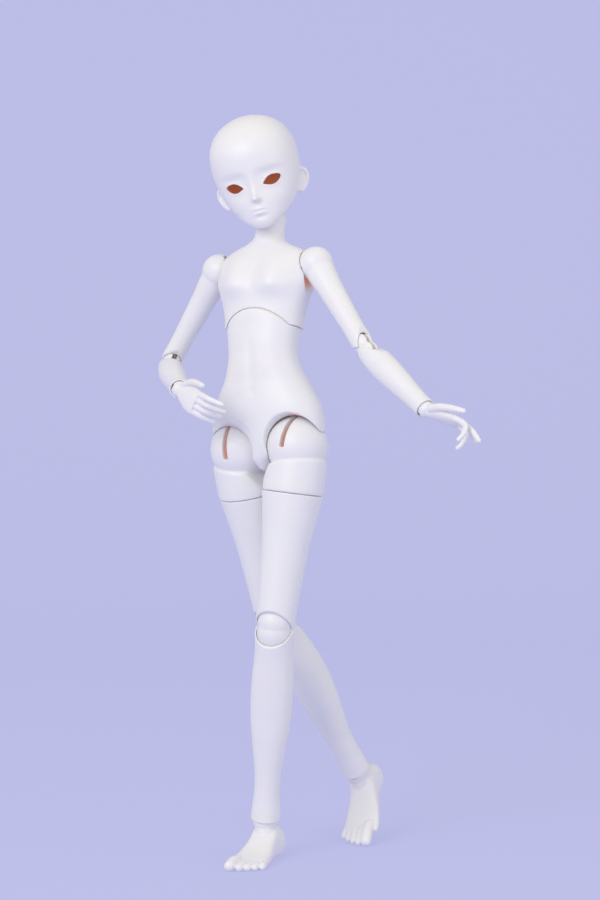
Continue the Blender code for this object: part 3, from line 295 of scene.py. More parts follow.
def settled(form):
    """The form with its modifiers worked into its mesh."""
    graph = bpy.context.evaluated_depsgraph_get()
    mesh = bpy.data.meshes.new_from_object(form.evaluated_get(graph))
    form.modifiers.clear()
    form.data = mesh
    return form


def grown_together(forms, grain, ease):
    """Overlapping forms as one skin, with the creases between them filled out."""
    bm = bmesh.new()
    for form in forms:
        bm.from_mesh(form.data)
        bpy.data.objects.remove(form)
    whole = form_from(bm)
    remesh = whole.modifiers.new("skin", "REMESH")
    remesh.mode = "VOXEL"
    remesh.voxel_size = grain
    smooth = whole.modifiers.new("ease", "SMOOTH")
    smooth.factor = 0.5
    smooth.iterations = ease
    return settled(whole)


def carved(form, cutters, operation="DIFFERENCE"):
    for cutter in cutters:
        step = form.modifiers.new("carve", "BOOLEAN")
        step.operation = operation
        step.solver = "MANIFOLD"
        step.object = cutter
    settled(form)
    for cutter in cutters:
        bpy.data.objects.remove(cutter)
    return form


def cast(name, forms, cutters, place, mirror=False, grow=8, ease=3, grain=1.0, warm=0.03,
         most=MOST_FACES, added=()):
    """One casting: forms grown together, carved, its edges eased, and set in its place.

    Each point keeps how deep it lies under the outer skin, as a share of the depth at which
    the resin's painted shade and painted glow are strongest.
    """
    piece = grown_together(forms, LIMB_GRAIN * grain, grow)
    outer = BVHTree.FromObject(piece, bpy.context.evaluated_depsgraph_get())
    if cutters:
        carved(piece, cutters)
    if added:
        carved(piece, added, "UNION")
    remesh = piece.modifiers.new("edges", "REMESH")
    remesh.mode = "VOXEL"
    remesh.voxel_size = EDGE_GRAIN * grain
    smooth = piece.modifiers.new("ease", "SMOOTH")
    smooth.factor = 0.5
    smooth.iterations = ease
    settled(piece)
    mesh = piece.data
    faces = 2 * len(mesh.polygons)
    if faces > most:
        thin = piece.modifiers.new("thin", "DECIMATE")
        thin.ratio = most / faces
        mesh = settled(piece).data
    # How deep each point lies under the outer skin sets the painted shade and painted glow of the
    # resin material.
    depths = [min(1.0, outer.find_nearest(vertex.co)[3] / warm) for vertex in mesh.vertices]
    mesh.attributes.new("depth", "FLOAT", "POINT").data.foreach_set("value", depths)
    if mirror:
        mesh.transform(Matrix.Diagonal((-1, 1, 1, 1)))
        mesh.flip_normals()
    mesh.transform(place)
    mesh.shade_smooth()
    mesh.materials.clear()
    mesh.materials.append(resin)
    piece.name = mesh.name = name
    return piece


def fitted(piece, body, *nodes):
    """Hangs a finished casting on its body, in place of the plain solids."""
    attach(piece, body)
    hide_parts(*nodes)


def lumbar(points):
    """Tips the top of the lower torso back about the waist, as the spine curves."""
    start = PELVIS_TO_WAIST * 0.62
    share = np.clip((points[..., 2] - start) / (PELVIS_TO_WAIST - start), 0, 1)
    turn = radians(LUMBAR_CURVE) * share * share * (3 - 2 * share)
    y, z = points[..., 1], points[..., 2] - PELVIS_TO_WAIST
    return np.stack([points[..., 0], y * np.cos(turn) - z * np.sin(turn),
                     PELVIS_TO_WAIST + y * np.sin(turn) + z * np.cos(turn)], axis=-1)


def belly(points):
    """The navel, and the shallow groove above it."""
    x, y, z = points[..., 0], points[..., 1], points[..., 2]
    front = np.clip(-y / (PELVIS_DEPTH * 0.5), 0, 1)
    above = z - NAVEL_HEIGHT - GROOVE_HEIGHT
    groove = np.exp(-(x / GROOVE_HALF_WIDTH) ** 2) * np.exp(-(above / GROOVE_HALF_LENGTH) ** 4)
    navel = np.exp(-(x / NAVEL_RADIUS) ** 2 - ((z - NAVEL_HEIGHT) / (NAVEL_RADIUS * 1.3)) ** 2)
    moved = points.copy()
    moved[..., 1] = y + front * (GROOVE_DEPTH * groove + NAVEL_DEPTH * navel)
    return moved


def leg_opening(sign, hip):
    """The cutter of a leg's opening, flared so that its lip rounds in to the ball."""
    opening = shell(loft([(PELVIS_DEPTH * deep, *(3 * (LEG_OPENING * wide,)))
                          for deep, wide in LEG_OPENING_SHARES]))
    turn = radians(LEG_OPENING_TURNS[sign])
    outward = Vector((sign * sin(turn), -cos(turn), 0)).to_track_quat("Z", "Y")
    centre = hip + Vector(LEG_OPENING_PLACES[sign])
    opening.data.transform(Matrix.Translation(centre) @ outward.to_matrix().to_4x4())
    return opening


pelvis = stand(Matrix.Identity(4), PELVIS_AT, ("Z", PELVIS_TURN[2]), ("X", PELVIS_TURN[0]),
               ("Y", PELVIS_TURN[1]))
waist = Vector((0, 0, PELVIS_TO_WAIST))
torso_rings = loft([(PELVIS_TO_WAIST * up, PELVIS_WIDTH * wide, PELVIS_DEPTH * front,
                     PELVIS_DEPTH * back) for up, wide, front, back in PELVIS_SHARES], power=2.2)
ledge = carved(slab(RIM_HEIGHT - SEAM, WAIST_BALL * 3, WAIST_BALL * 2), [ball(WAIST_BALL)])
ledge.data.transform(stand(Matrix.Identity(4), waist, ("X", LUMBAR_CURVE)))
torso_cuts, openings = [ledge], []
for sign in SIDE.values():
    hip = Vector((sign * HIP_HALF_SPAN, 0, 0))
    openings.append(leg_opening(sign, hip))
    torso_cuts += [ball(HIP_BALL + CLEARANCE, at=hip),
                   rod((sign * HIP_HALF_SPAN, 0, HIP_BALL * 0.9),
                       (sign * CORD_RADIUS, 0, PELVIS_TO_WAIST), CORD_BORE)]
torso_cuts += [ball(WAIST_BALL * 0.5, at=waist),
               rod((0, 0, PELVIS_TO_WAIST * 0.36), waist, WAIST_BALL * 0.3),
               rod(waist, waist + Vector((0, 0, WAIST_BALL * 1.5)), WAIST_BALL * 0.47)]
torso_form = carved(shell(lumbar(belly(torso_rings))), openings)
lower_torso = cast("torso_casting", [torso_form], torso_cuts, pelvis, warm=TORSO_SHADE_DEPTH,
                   most=MOST_FACES * 3)
fitted(lower_torso, "pelvis", "lower_torso")

# The chest. Rib cage and neck are one casting, hollow underneath over the waist's dome,
# with round sockets for the shoulders and a ball on the neck for the head.
CHEST_TURN = 3.5
WAIST_TO_NECK = 0.098
NECK_SET_BACK = 0.002
SHOULDER_HALF_SPAN = 0.043
WAIST_TO_SHOULDER = 0.060
NECK_BALL = 0.012
SHOULDER_BALL = 0.0135
SHOULDER_WIDTH = 0.0112
CHEST_WIDTH = 0.0410
CHEST_DEPTH = 0.0225
NECK_BORE = 0.0046
BUST_OUT = 0.0060
BUST_HALF_SPAN = 0.0170
BUST_HEIGHT = 0.0420
ARM_REST = radians(16)
CHEST_SHARES = ((0.10, 0.79, 0.90, 0.96), (0.20, 0.81, 0.93, 0.95), (0.30, 0.86, 0.97, 0.96),
                (0.39, 0.93, 1.0, 0.98), (0.48, 1.0, 0.98, 1.0), (0.58, 1.0, 0.90, 1.0),
                (0.65, 0.98, 0.80, 0.94), (0.70, 0.88, 0.71, 0.87), (0.75, 0.69, 0.62, 0.77),
                (0.79, 0.47, 0.56, 0.66), (0.84, 0.30, 0.51, 0.55), (0.91, 0.268, 0.489, 0.495),
                (1.0, 0.268, 0.489, 0.489))


def bust(points):
    """Moves the chest's front out over the breasts."""
    x, y, z = points[..., 0], points[..., 1], points[..., 2]
    across = (np.abs(x) - BUST_HALF_SPAN) / (BUST_HALF_SPAN * 0.72)
    up = (z - BUST_HEIGHT) / (BUST_HALF_SPAN * np.where(z < BUST_HEIGHT, 0.48, 1.15))
    front = np.clip(-y / (CHEST_DEPTH * 0.5), 0, 1)
    moved = points.copy()
    moved[..., 1] = y - front * BUST_OUT * np.exp(-(across ** 2 + up ** 2))
    return moved


chest_at = stand(pelvis, waist, ("X", LUMBAR_CURVE), ("Z", CHEST_TURN))
neck = Vector((0, NECK_SET_BACK, WAIST_TO_NECK))
chest_rings = loft([(WAIST_TO_NECK * up, CHEST_WIDTH * wide, CHEST_DEPTH * front,
                     CHEST_DEPTH * back, 0.0, -NECK_SET_BACK * max(0.0, up - 0.6) / 0.4)
                    for up, wide, front, back in CHEST_SHARES], power=2.2)
chest_cuts = [ball(WAIST_BALL + CLEARANCE),
              rod((0, 0, 0), neck + Vector((0, 0, NECK_BALL * 2)), NECK_BORE),
              rod((-SHOULDER_HALF_SPAN, 0, WAIST_TO_SHOULDER),
                  (SHOULDER_HALF_SPAN, 0, WAIST_TO_SHOULDER), CORD_BORE * 1.1),
              ball(SHOULDER_BALL, at=(0, 0, WAIST_TO_SHOULDER * 0.86)),
              slab(-WAIST_BALL, RIM_HEIGHT, WAIST_BALL * 2)]
for sign in SIDE.values():
    shoulder = Vector((sign * SHOULDER_HALF_SPAN, 0, WAIST_TO_SHOULDER))
    down = Vector((sign * sin(ARM_REST), 0, -cos(ARM_REST))) * SHOULDER_BALL * 2
    chest_cuts += [ball(SHOULDER_BALL + CLEARANCE, at=shoulder),
                   rod(shoulder, shoulder + down, SHOULDER_WIDTH + CLEARANCE * 2)]
chest = cast("chest_casting", [shell(bust(chest_rings)), ball(NECK_BALL, at=neck)],
             chest_cuts, chest_at, warm=TORSO_SHADE_DEPTH, most=MOST_FACES * 3)
fitted(chest, "chest", "chest")

# The head. The face shell is hollow with a round socket underneath for the neck's ball
# and open almond eyes. The back of the skull is a cap that magnets hold on.
HEAD_POSE = {"turn": 20.0, "nod": 19.3, "tilt": -15.2}
HEAD_WALL = 0.0042
# How deep under the head's outer skin the painted shade and painted glow reach their strongest.
HEAD_SHADE_DEPTH = 0.0045
HEAD_HEIGHT = 0.0835
HEAD_HALF_WIDTH = 0.0342
FACE_FRONT = 0.0342
HEAD_SHARES = ((-0.036, 0.10, 0.83, -0.57), (-0.018, 0.22, 0.90, -0.40), (0.012, 0.35, 0.94, -0.23),
               (0.066, 0.52, 0.97, 0.11), (0.120, 0.65, 0.985, 0.51), (0.188, 0.765, 1.0, 0.74),
               (0.277, 0.865, 1.0, 0.91), (0.39, 0.95, 1.01, 1.04), (0.53, 1.0, 1.04, 1.13),
               (0.67, 0.983, 1.03, 1.14), (0.785, 0.90, 0.93, 1.04), (0.878, 0.745, 0.74, 0.86),
               (0.947, 0.52, 0.50, 0.61), (0.988, 0.25, 0.23, 0.33), (1.0, 0.10, 0.06, 0.14))
EYE_HEIGHT = 0.0320
EYE_HALF_SPAN = 0.0148
EYE_HALF_WIDTH = 0.0073
UPPER_LID = ((-1.01, -0.23), (-0.71, 0.08), (-0.40, 0.34), (0.01, 0.50), (0.42, 0.49),
             (0.77, 0.40), (1.0, 0.22))
LOWER_LID = ((1.0, 0.22), (0.84, -0.07), (0.54, -0.36), (0.16, -0.52), (-0.23, -0.52),
             (-0.63, -0.38), (-1.01, -0.23))
SOCKET_DEPTH = 0.44
EYE_BULGE = 0.20
LID_RIM = 0.10
NOSE_HEIGHT = 0.0206
NOSE_OUT = 0.0062
MOUTH_HEIGHT = 0.0113
MOUTH_HALF_WIDTH = 0.0064
UPPER_LIP = (0.15, 0.24, 0.19, 0.62)
LOWER_LIP = (0.22, -0.28, 0.20, 0.55)
LIP_MOUND = (0.15, 0.0, 0.8, 1.1)
CHIN_DIP = (-0.14, -0.74, 0.24, 0.8)
CHIN = (0.16, -1.45, 0.5, 0.9)
LIP_PARTING = 0.13
EAR_HEIGHT = 0.0236
EAR_OUT = 0.0302
EAR_BACK = 0.0045
EAR_HALF_LENGTH = 0.0100
EAR_TURN = 48
EAR_LEAN = 14
EAR_PLATE = (0.58, 0.15, 0.92, 1)
EAR_RIM = ((-0.30, 0.10, 0.10), (-0.52, 0.12, 0.45), (-0.40, 0.13, 0.82), (0.02, 0.14, 0.98),
           (0.42, 0.16, 0.82), (0.58, 0.16, 0.40), (0.52, 0.13, -0.05), (0.34, 0.09, -0.45))
EAR_FOLD = ((0.16, 0.10, 0.62), (0.26, 0.11, 0.25), (0.20, 0.10, -0.15), (0.0, 0.08, -0.42))
EAR_LOBE = ((0.25, 0.04, -0.50), (0.02, 0.05, -0.70), (-0.20, 0.03, -0.62))
EAR_BOWL_AT = (-0.10, 0.20, 0.04)
EAR_BOWL = (0.34, 0.19, 0.50, 1)
CAP_TILT = 20
CAP_BACK = 0.0362
HOOK_HOLE_WIDTH = 0.0066
HOOK_HOLE_DEPTH = 0.0086
NECK_RADIUS = 0.0110
NOD_SWEEP = (-8, 2, 12, 22, 32)
MAGNET_RADIUS = 0.0011
MAGNET_THICKNESS = 0.0016
MAGNET_AT = (0.0296, 0.0203, 0.0500)


def hump(centre, spread, value):
    return np.exp(-((value - centre) / spread) ** 2)


def lids():
    """The edge of the left eye opening: pointed at both corners, seen from the front."""
    edge = np.vstack([smooth_line(UPPER_LID)[:-1], smooth_line(LOWER_LID)[:-1]])
    return edge * EYE_HALF_WIDTH + (EYE_HALF_SPAN, EYE_HEIGHT)


def face(points):
    """Shapes the sockets, lids, nose, lips and chin on the front of the head."""
    x, y, z = np.abs(points[..., 0]), points[..., 1], points[..., 2]
    near = EYE_HALF_WIDTH
    beside, above = x - EYE_HALF_SPAN, z - EYE_HEIGHT
    wide = np.where(beside < 0, np.exp(-(beside / (near * 1.42)) ** 4),
                    hump(0.0, near * 1.45, beside))
    tall = np.where(above > 0, np.exp(-(above / (near * 1.25)) ** 4),
                    hump(0.0, near * 0.95, above))
    out = -near * SOCKET_DEPTH * wide * tall
    bulge = np.exp(-(beside / (near * 1.25)) ** 4 - (above / (near * 0.82)) ** 4)
    out = out + near * EYE_BULGE * bulge
    apart = np.full(x.shape, 1.0)
    for lid_x, lid_z in lids():
        apart = np.minimum(apart, np.hypot(x - lid_x, z - lid_z))
    out = out + near * LID_RIM * hump(0.0, near * 0.15, apart)

    below = NOSE_HEIGHT - z
    tip = np.where(below < 0, hump(0.0, NOSE_OUT * 0.80, below),
                   hump(0.0, NOSE_OUT * 0.34, below))
    wing = NOSE_OUT * (0.40 + 0.12 * hump(NOSE_HEIGHT, NOSE_OUT * 0.4, z))
    out = out + NOSE_OUT * 0.66 * tip * hump(0.0, wing, x)
    bridge = np.where(below < 0, hump(0.0, NOSE_OUT * 2.3, below),
                      hump(0.0, NOSE_OUT * 0.30, below))
    out = out + NOSE_OUT * 0.36 * bridge * hump(0.0, NOSE_OUT * 0.50, x)

    half, rise = MOUTH_HALF_WIDTH, z - MOUTH_HEIGHT
    bow = 1.0 - 0.25 * hump(0.0, half * 0.12, x)
    for mound, curve in ((LIP_MOUND, 1.0), (UPPER_LIP, bow), (LOWER_LIP, 1.0),
                         (CHIN_DIP, 1.0), (CHIN, 1.0)):
        depth, centre, spread, reach = (half * share for share in mound)
        out = out + depth * curve * hump(centre, spread, rise) * hump(0.0, reach, x)
    parting = hump(0.0, half * 0.10, rise + x * 0.05) * np.exp(-(x / (half * 0.9)) ** 4)
    out = out - half * LIP_PARTING * parting
    front = np.clip(-y / FACE_FRONT, 0, None)
    moved = points.copy()
    moved[..., 1] = y - out * np.minimum(1.0, front * 1.4)
    return moved


def head_rings(inset):
    stations = []
    for up, wide, front, back in HEAD_SHARES:
        if inset and not 0.15 < up < 0.93:
            continue
        near, far = -FACE_FRONT * front, FACE_FRONT * back
        stations.append((HEAD_HEIGHT * up, HEAD_HALF_WIDTH * wide - inset,
                         *(2 * ((far - near) / 2 - inset,)), 0.0, -(far + near) / 2))
    return loft(stations, steps=14, sides=240, power=2.15)


def digit(joints, root_radius, tip_radius, steps=8, sides=28):
    """A tapering finger, toe or fold of an ear on a smooth curve, with round ends."""
    joints = [Vector(p) for p in joints]
    ends = [joints[0], *joints, joints[-1]]
    path = []
    for a, b, c, d in zip(ends, ends[1:], ends[2:], ends[3:]):
        for step in range(steps):
            t = step / steps
            path.append(b + (c - a) * (t / 2) + (2 * a - 5 * b + 4 * c - d) * (t * t / 2)
                        + (3 * b - a - 3 * c + d) * (t ** 3 / 2))
    path.append(joints[-1])
    last = len(path) - 1
    rings = []
    for i, point in enumerate(path):
        ahead = (path[min(i + 1, last)] - path[max(i - 1, 0)]).normalized()
        across = (Vector((1, 0, 0)) - ahead * ahead.x).normalized()
        up = ahead.cross(across)
        radius = root_radius + (tip_radius - root_radius) * i / last
        bulges = [(0.0, 1.0)]
        if i == 0:
            bulges = [(-cos(a), sin(a)) for a in (radians(20), radians(50), radians(90))]
        if i == last:
            bulges = [(sin(a), cos(a)) for a in map(radians, (0, 20, 40, 60, 78, 88))]
        for out, size in bulges:
            rings.append([point + ahead * (out * radius)
                          + (across * cos(2 * pi * k / sides)
                             + up * sin(2 * pi * k / sides)) * (size * radius)
                          for k in range(sides)])
    return shell(np.array(rings))


def almond(sign):
    """The cutter of an eye opening."""
    outline = [(sign * x, z) for x, z in lids()]
    return prism(outline, -FACE_FRONT * 1.5, -FACE_FRONT * 0.3, "XZ")


def ear_at(sign):
    """The frame of an ear: X along it from front to back, Y out of its bowl, Z up."""
    return (Matrix.Translation((sign * EAR_OUT, EAR_BACK, EAR_HEIGHT))
            @ Matrix.Diagonal((sign, 1, 1, 1))
            @ Matrix.Rotation(radians(90 - EAR_TURN), 4, "Z")
            @ Matrix.Rotation(radians(EAR_LEAN), 4, "Y") @ Matrix.Diagonal((1, -1, 1, 1)))


def ear(sign):
    """The forms of an ear: a thin plate with a rolled rim, an inner fold, and a lobe."""
    size = EAR_HALF_LENGTH
    plate = ball(size)
    plate.data.transform(Matrix.Diagonal(EAR_PLATE))
    forms = [plate]
    for line, first, last in ((EAR_RIM, 0.13, 0.15), (EAR_FOLD, 0.08, 0.09),
                              (EAR_LOBE, 0.20, 0.17)):
        path = [(along * size, out * size, up * size) for along, out, up in line]
        forms.append(digit(path, size * first, size * last))
    for form in forms:
        form.data.transform(ear_at(sign))
    return forms


def ear_bowl(sign):
    """The hollow of an ear, between the rim and the head."""
    size = EAR_HALF_LENGTH
    hollow = ball(size)
    centre = [share * size for share in EAR_BOWL_AT]
    hollow.data.transform(Matrix.Translation(centre) @ Matrix.Diagonal(EAR_BOWL))
    hollow.data.transform(ear_at(sign))
    if sign < 0:
        hollow.data.flip_normals()
    return hollow


def magnet_rod(sign, way, room=0.0):
    """A magnet in its pocket on one side of the cap's seam, or with room the pocket's cutter."""
    normal = Vector((0, cos(radians(CAP_TILT)), sin(radians(CAP_TILT))))
    place = Vector((sign * MAGNET_AT[0], MAGNET_AT[1], MAGNET_AT[2]))
    place += normal * (CAP_BACK - place.dot(normal))
    face_out = 0.0 if room else SEAM
    near, far = SEAM / 2 + face_out - room, SEAM / 2 + SEAM + MAGNET_THICKNESS + room
    return rod(place - normal * near * way, place - normal * far * way, MAGNET_RADIUS + room)


def plain_finish(name, colour, roughness, metallic, scale, depth):
    """A finish of one colour, with a fine grain in its shine and its surface."""
    made, tree = finish(name)
    new = tree.nodes.new
    noise = feed(new("ShaderNodeTexNoise"), Scale=scale,
                 Vector=new("ShaderNodeTexCoord").outputs["Object"]).outputs["Fac"]
    spread = feed(new("ShaderNodeMapRange"), To_Min=roughness * 0.8,
                  To_Max=min(1.0, roughness * 1.3), Value=noise)
    bump = feed(new("ShaderNodeBump"), Strength=0.4, Distance=depth, Height=noise)
    feed(tree.nodes["Principled BSDF"], Base_Color=(*colour, 1.0), Metallic=metallic,
         Roughness=spread.outputs["Result"], Normal=bump.outputs["Normal"])
    return made


def cap_block(way):
    """All that lies on one side of the cap's seam."""
    reach = HEAD_HEIGHT * 2
    block = slab(0, reach, reach)
    tilt = Matrix.Rotation(radians(CAP_TILT - (90 if way > 0 else -90)), 4, "X")
    normal = Vector((0, cos(radians(CAP_TILT)), sin(radians(CAP_TILT))))
    block.data.transform(Matrix.Translation(normal * (CAP_BACK - way * SEAM / 2)) @ tilt)
    return block


head_turned = stand(chest_at, neck, ("Z", HEAD_POSE["turn"]))
head_at = stand(head_turned, (0, 0, 0), ("X", HEAD_POSE["nod"]), ("Y", HEAD_POSE["tilt"]))
for name, way in (("head", 1), ("head_cap", -1)):
    head_hole = loft([(level, HOOK_HOLE_WIDTH, HOOK_HOLE_DEPTH, HOOK_HOLE_DEPTH, 0.0,
                       -HOOK_HOLE_DEPTH * 0.45) for level in (0.0, HEAD_HEIGHT * 0.3)])
    hollow = carved(shell(head_rings(HEAD_WALL)), [ball(NECK_BALL + CLEARANCE + HEAD_WALL)])
    head_cuts = [hollow, ball(NECK_BALL + CLEARANCE), shell(head_hole), almond(1), almond(-1),
                 ear_bowl(1), ear_bowl(-1), cap_block(way)]
    for nod in NOD_SWEEP:
        turned = (Matrix.Rotation(radians(-HEAD_POSE["tilt"]), 3, "Y")
                  @ Matrix.Rotation(radians(-nod), 3, "X"))
        head_cuts.append(rod((0, 0, 0), turned @ Vector((0, 0, -WAIST_TO_NECK * 0.5)),
                             NECK_RADIUS + CLEARANCE * 2.2))
    head_cuts += [magnet_rod(sign, way, CLEARANCE) for sign in SIDE.values()]
    piece = cast(f"{name}_casting", [shell(face(head_rings(0.0))), *ear(1), *ear(-1)], head_cuts,
                 head_at, grow=3, ease=2, grain=0.85, warm=HEAD_SHADE_DEPTH, most=MOST_FACES * 3)
    fitted(piece, "head", name)

plated = plain_finish("plated_magnet", (0.55, 0.55, 0.57), 0.35, 1.0, 600.0, 0.00002)
for side, sign in SIDE.items():
    for name, way in ((f"{side}_head_magnet", 1), (f"{side}_cap_magnet", -1)):
        piece = magnet_rod(sign, way)
        piece.data.transform(head_at)
        piece.data.materials.append(plated)
        piece.name = f"{name}_disc"
        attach(piece, "head")
        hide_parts(name)

# The arms. Each upper arm is a bored casting with the shoulder's ball on top, an elbow
# of two balls in one piece, and a forearm, with a bored way for the elastic all through.
UPPER_ARM_LENGTH = 0.082
ELBOW_LINK = 0.009
FOREARM_LENGTH = 0.076
ELBOW_BALL = 0.0080
WRIST_BALL = 0.0064
ELBOW_SQUEEZE = 0.86
ELBOW_WIDTH = 0.0080
WRIST_WIDTH = 0.0078
FOREARM_SWELL = 0.0106
SLOT_HALF_WIDTH = 0.0020
UPPER_ARM_SHARES = ((0.04, 1.04), (0.14, 1.0), (0.30, 0.62), (0.55, 0.34), (0.80, 0.08),
                    (1.0, 0.12), (1.08, 0.10))
FOREARM_SHARES = ((-0.08, 0.0, 0.10), (0.06, 0.0, 0.55), (0.18, 0.0, 0.92), (0.32, 0.0, 1.0),
                  (0.52, 0.30, 0.70), (0.74, 0.75, 0.20), (0.90, 1.0, 0.0), (1.0, 1.0, 0.06))
SHOULDER_TWIST_REACH = 75
SLOT_PAST_BALL = 0.004
# How deep under the outer skin of the elbow and knee links the painted shade and painted glow reach
# their strongest.
LINK_SHADE_DEPTH = 0.02
ELBOW_SLOPES = (54, 36)
FOLD_EASE = 12
EASED_FROM = 45
ARM_POSE = {
    "left": {"swing": -6.4, "raise": -35.3, "twist": 66.0, "elbow": 14.3},
    "right": {"swing": 14.9, "raise": 36.9, "twist": 36.0, "elbow": 101.1},
}


def limb(side, part, forms, cutters, place, **ways):
    """One casting of a limb, on the body of its own name, and mirrored on the right."""
    name = f"{side}_{part}"
    piece = cast(f"{name}_casting", forms, cutters, place, side == "right", **ways)
    fitted(piece, name, name)


def fold_cut(level, up, front_slope, back_slope, reach, near):
    """Opens a limb's end for folding: all past two slopes, which ease off beyond the ball."""
    outline = [(reach, level - up * 2 * reach), (-reach, level - up * 2 * reach)]
    for slope, way in ((front_slope, -1), (back_slope, 1)):
        ease = FOLD_EASE if slope > EASED_FROM else 0
        along, rise = near * cos(radians(slope)), near * sin(radians(slope))
        beyond = rise + (reach - along) * tan(radians(slope + ease))
        points = [(way * reach, level + up * beyond), (way * along, level + up * rise)]
        outline += points if way < 0 else [(0.0, level), *reversed(points)]
    return prism(outline, -reach, reach)


def double_ball(radius, squeeze, link, open_side):
    """The forms and cutter of the piece between two hinges, slotted on the side that folds."""
    reach = radius + SLOT_PAST_BALL
    outline = [(-open_side * SLOT_HALF_WIDTH, reach), (open_side * reach, reach),
               (open_side * reach, -link - reach), (-open_side * SLOT_HALF_WIDTH, -link - reach)]
    return ([ball(radius, squeeze), ball(radius, squeeze, (0, 0, -link))],
            [prism(outline, -SLOT_HALF_WIDTH, SLOT_HALF_WIDTH)])


def arm_slot():
    """The opening of the shoulder's ball: a wedge that the elastic sweeps as the arm twists."""
    reach = SHOULDER_BALL + SLOT_PAST_BALL
    spread = SLOT_HALF_WIDTH + reach * tan(radians(SHOULDER_TWIST_REACH / 2))
    outline = [(SLOT_HALF_WIDTH, -SLOT_HALF_WIDTH), (SLOT_HALF_WIDTH, SLOT_HALF_WIDTH),
               (-reach, spread), (-reach, -spread)]
    return prism(outline, -SLOT_HALF_WIDTH, reach, "XY")


arm_joints = {}
for side, sign in SIDE.items():
    arm = ARM_POSE[side]
    fold = -arm["elbow"] / 2
    shoulder_at = stand(chest_at, (sign * SHOULDER_HALF_SPAN, 0, WAIST_TO_SHOULDER),
                        ("X", arm["swing"]), ("Y", arm["raise"]), ("Z", arm["twist"]))
    elbow_at = stand(shoulder_at, (0, 0, -UPPER_ARM_LENGTH), ("X", fold))
    forearm_at = stand(elbow_at, (0, 0, -ELBOW_LINK), ("X", fold))
    arm_joints[side] = forearm_at

    slot = arm_slot()
    slot.data.transform(Matrix.Rotation(radians(-arm["twist"] * sign), 4, "Z"))
    thick = [(-UPPER_ARM_LENGTH * along,
              *(3 * (ELBOW_WIDTH + (SHOULDER_WIDTH - ELBOW_WIDTH) * blend,)))
             for along, blend in UPPER_ARM_SHARES]
    limb(side, "upper_arm", [shell(loft(thick)), ball(SHOULDER_BALL)],
         [fold_cut(-UPPER_ARM_LENGTH - ELBOW_LINK / 2 + SEAM, 1, *ELBOW_SLOPES,
                   SHOULDER_BALL * 3, ELBOW_BALL),
          rod((0, 0, -UPPER_ARM_LENGTH), (0, 0, 0), CORD_BORE),
          ball(ELBOW_BALL + CLEARANCE, ELBOW_SQUEEZE, (0, 0, -UPPER_ARM_LENGTH)), slot],
         shoulder_at, grow=12)
    limb(side, "elbow", *double_ball(ELBOW_BALL, ELBOW_SQUEEZE, ELBOW_LINK, -1), elbow_at,
         grow=4, grain=0.8, warm=LINK_SHADE_DEPTH)

    thick = [(-FOREARM_LENGTH * along,
              *(3 * (ELBOW_WIDTH + (WRIST_WIDTH - ELBOW_WIDTH) * blend
                     + (FOREARM_SWELL - ELBOW_WIDTH) * swell,)))
             for along, blend, swell in FOREARM_SHARES]
    rim = -FOREARM_LENGTH + WRIST_BALL * 0.2
    limb(side, "forearm", [shell(loft(thick))],
         [fold_cut(ELBOW_LINK / 2 - SEAM, -1, *ELBOW_SLOPES, SHOULDER_BALL * 3, ELBOW_BALL),
          slab(rim - SHOULDER_BALL, rim, SHOULDER_BALL),
          rod((0, 0, 0), (0, 0, -FOREARM_LENGTH), CORD_BORE),
          ball(ELBOW_BALL + CLEARANCE, ELBOW_SQUEEZE),
          ball(WRIST_BALL + CLEARANCE, 1.0, (0, 0, -FOREARM_LENGTH))], forearm_at)

# The hands. Each is one casting of a palm, four fingers and a thumb, with the wrist's
# ball on top, slotted across a bar that the wire hook holds.
HAND_POSE = {"left": (32.0, -22.0, -10.0), "right": (-94.0, 23.0, 2.0)}
BAR_RADIUS = 0.0011
HOOK_EYE = 0.0024
WIRE_RADIUS = 0.0009
PALM_LENGTH = 0.0290
PALM_WIDTH = 0.0100
PALM_THICKNESS = 0.0044
PALM_SHARES = ((0.0, 0.52, 1.20), (0.18, 0.56, 1.12), (0.38, 0.80, 1.04), (0.62, 0.98, 1.0),
               (0.86, 1.0, 0.88), (1.0, 0.94, 0.66))
FINGER_LENGTH = 0.0250
FINGER_RADIUS = 0.0026
# How deep under the outer skin of hands and feet the painted shade and painted glow reach their
# strongest.
HAND_SHADE_DEPTH = 0.009
FINGERS = {"index": (-0.74, 0.92), "middle": (-0.26, 1.0), "ring": (0.23, 0.93),
           "little": (0.70, 0.74)}
PHALANX_SHARES = (0.44, 0.30, 0.26)
CURLS = {
    "left": {"index": (12, 58, 30), "middle": (8, 14, 10), "ring": (28, 50, 30),
             "little": (6, 16, 12)},
    "right": {"index": (10, 18, 8), "middle": (24, 30, 16), "ring": (38, 34, 20),
              "little": (46, 22, 10)},
}
THUMB_SHARES = ((-0.55, 0.20, -0.20), (-1.15, 0.52, -0.62), (-1.45, 0.86, -0.95),
                (-1.60, 1.16, -1.15))


def barred(radius, first, last):
    """The slot of a small ball, and the bar that the hook holds across it."""
    return ([sector(radius, first, last),
             rod((-SLOT_HALF_WIDTH, 0, 0), (SLOT_HALF_WIDTH, 0, 0),
                 HOOK_EYE + WIRE_RADIUS + CLEARANCE)],
            [rod((-SLOT_HALF_WIDTH - BAR_RADIUS, 0, 0), (SLOT_HALF_WIDTH + BAR_RADIUS, 0, 0),
                 BAR_RADIUS)])


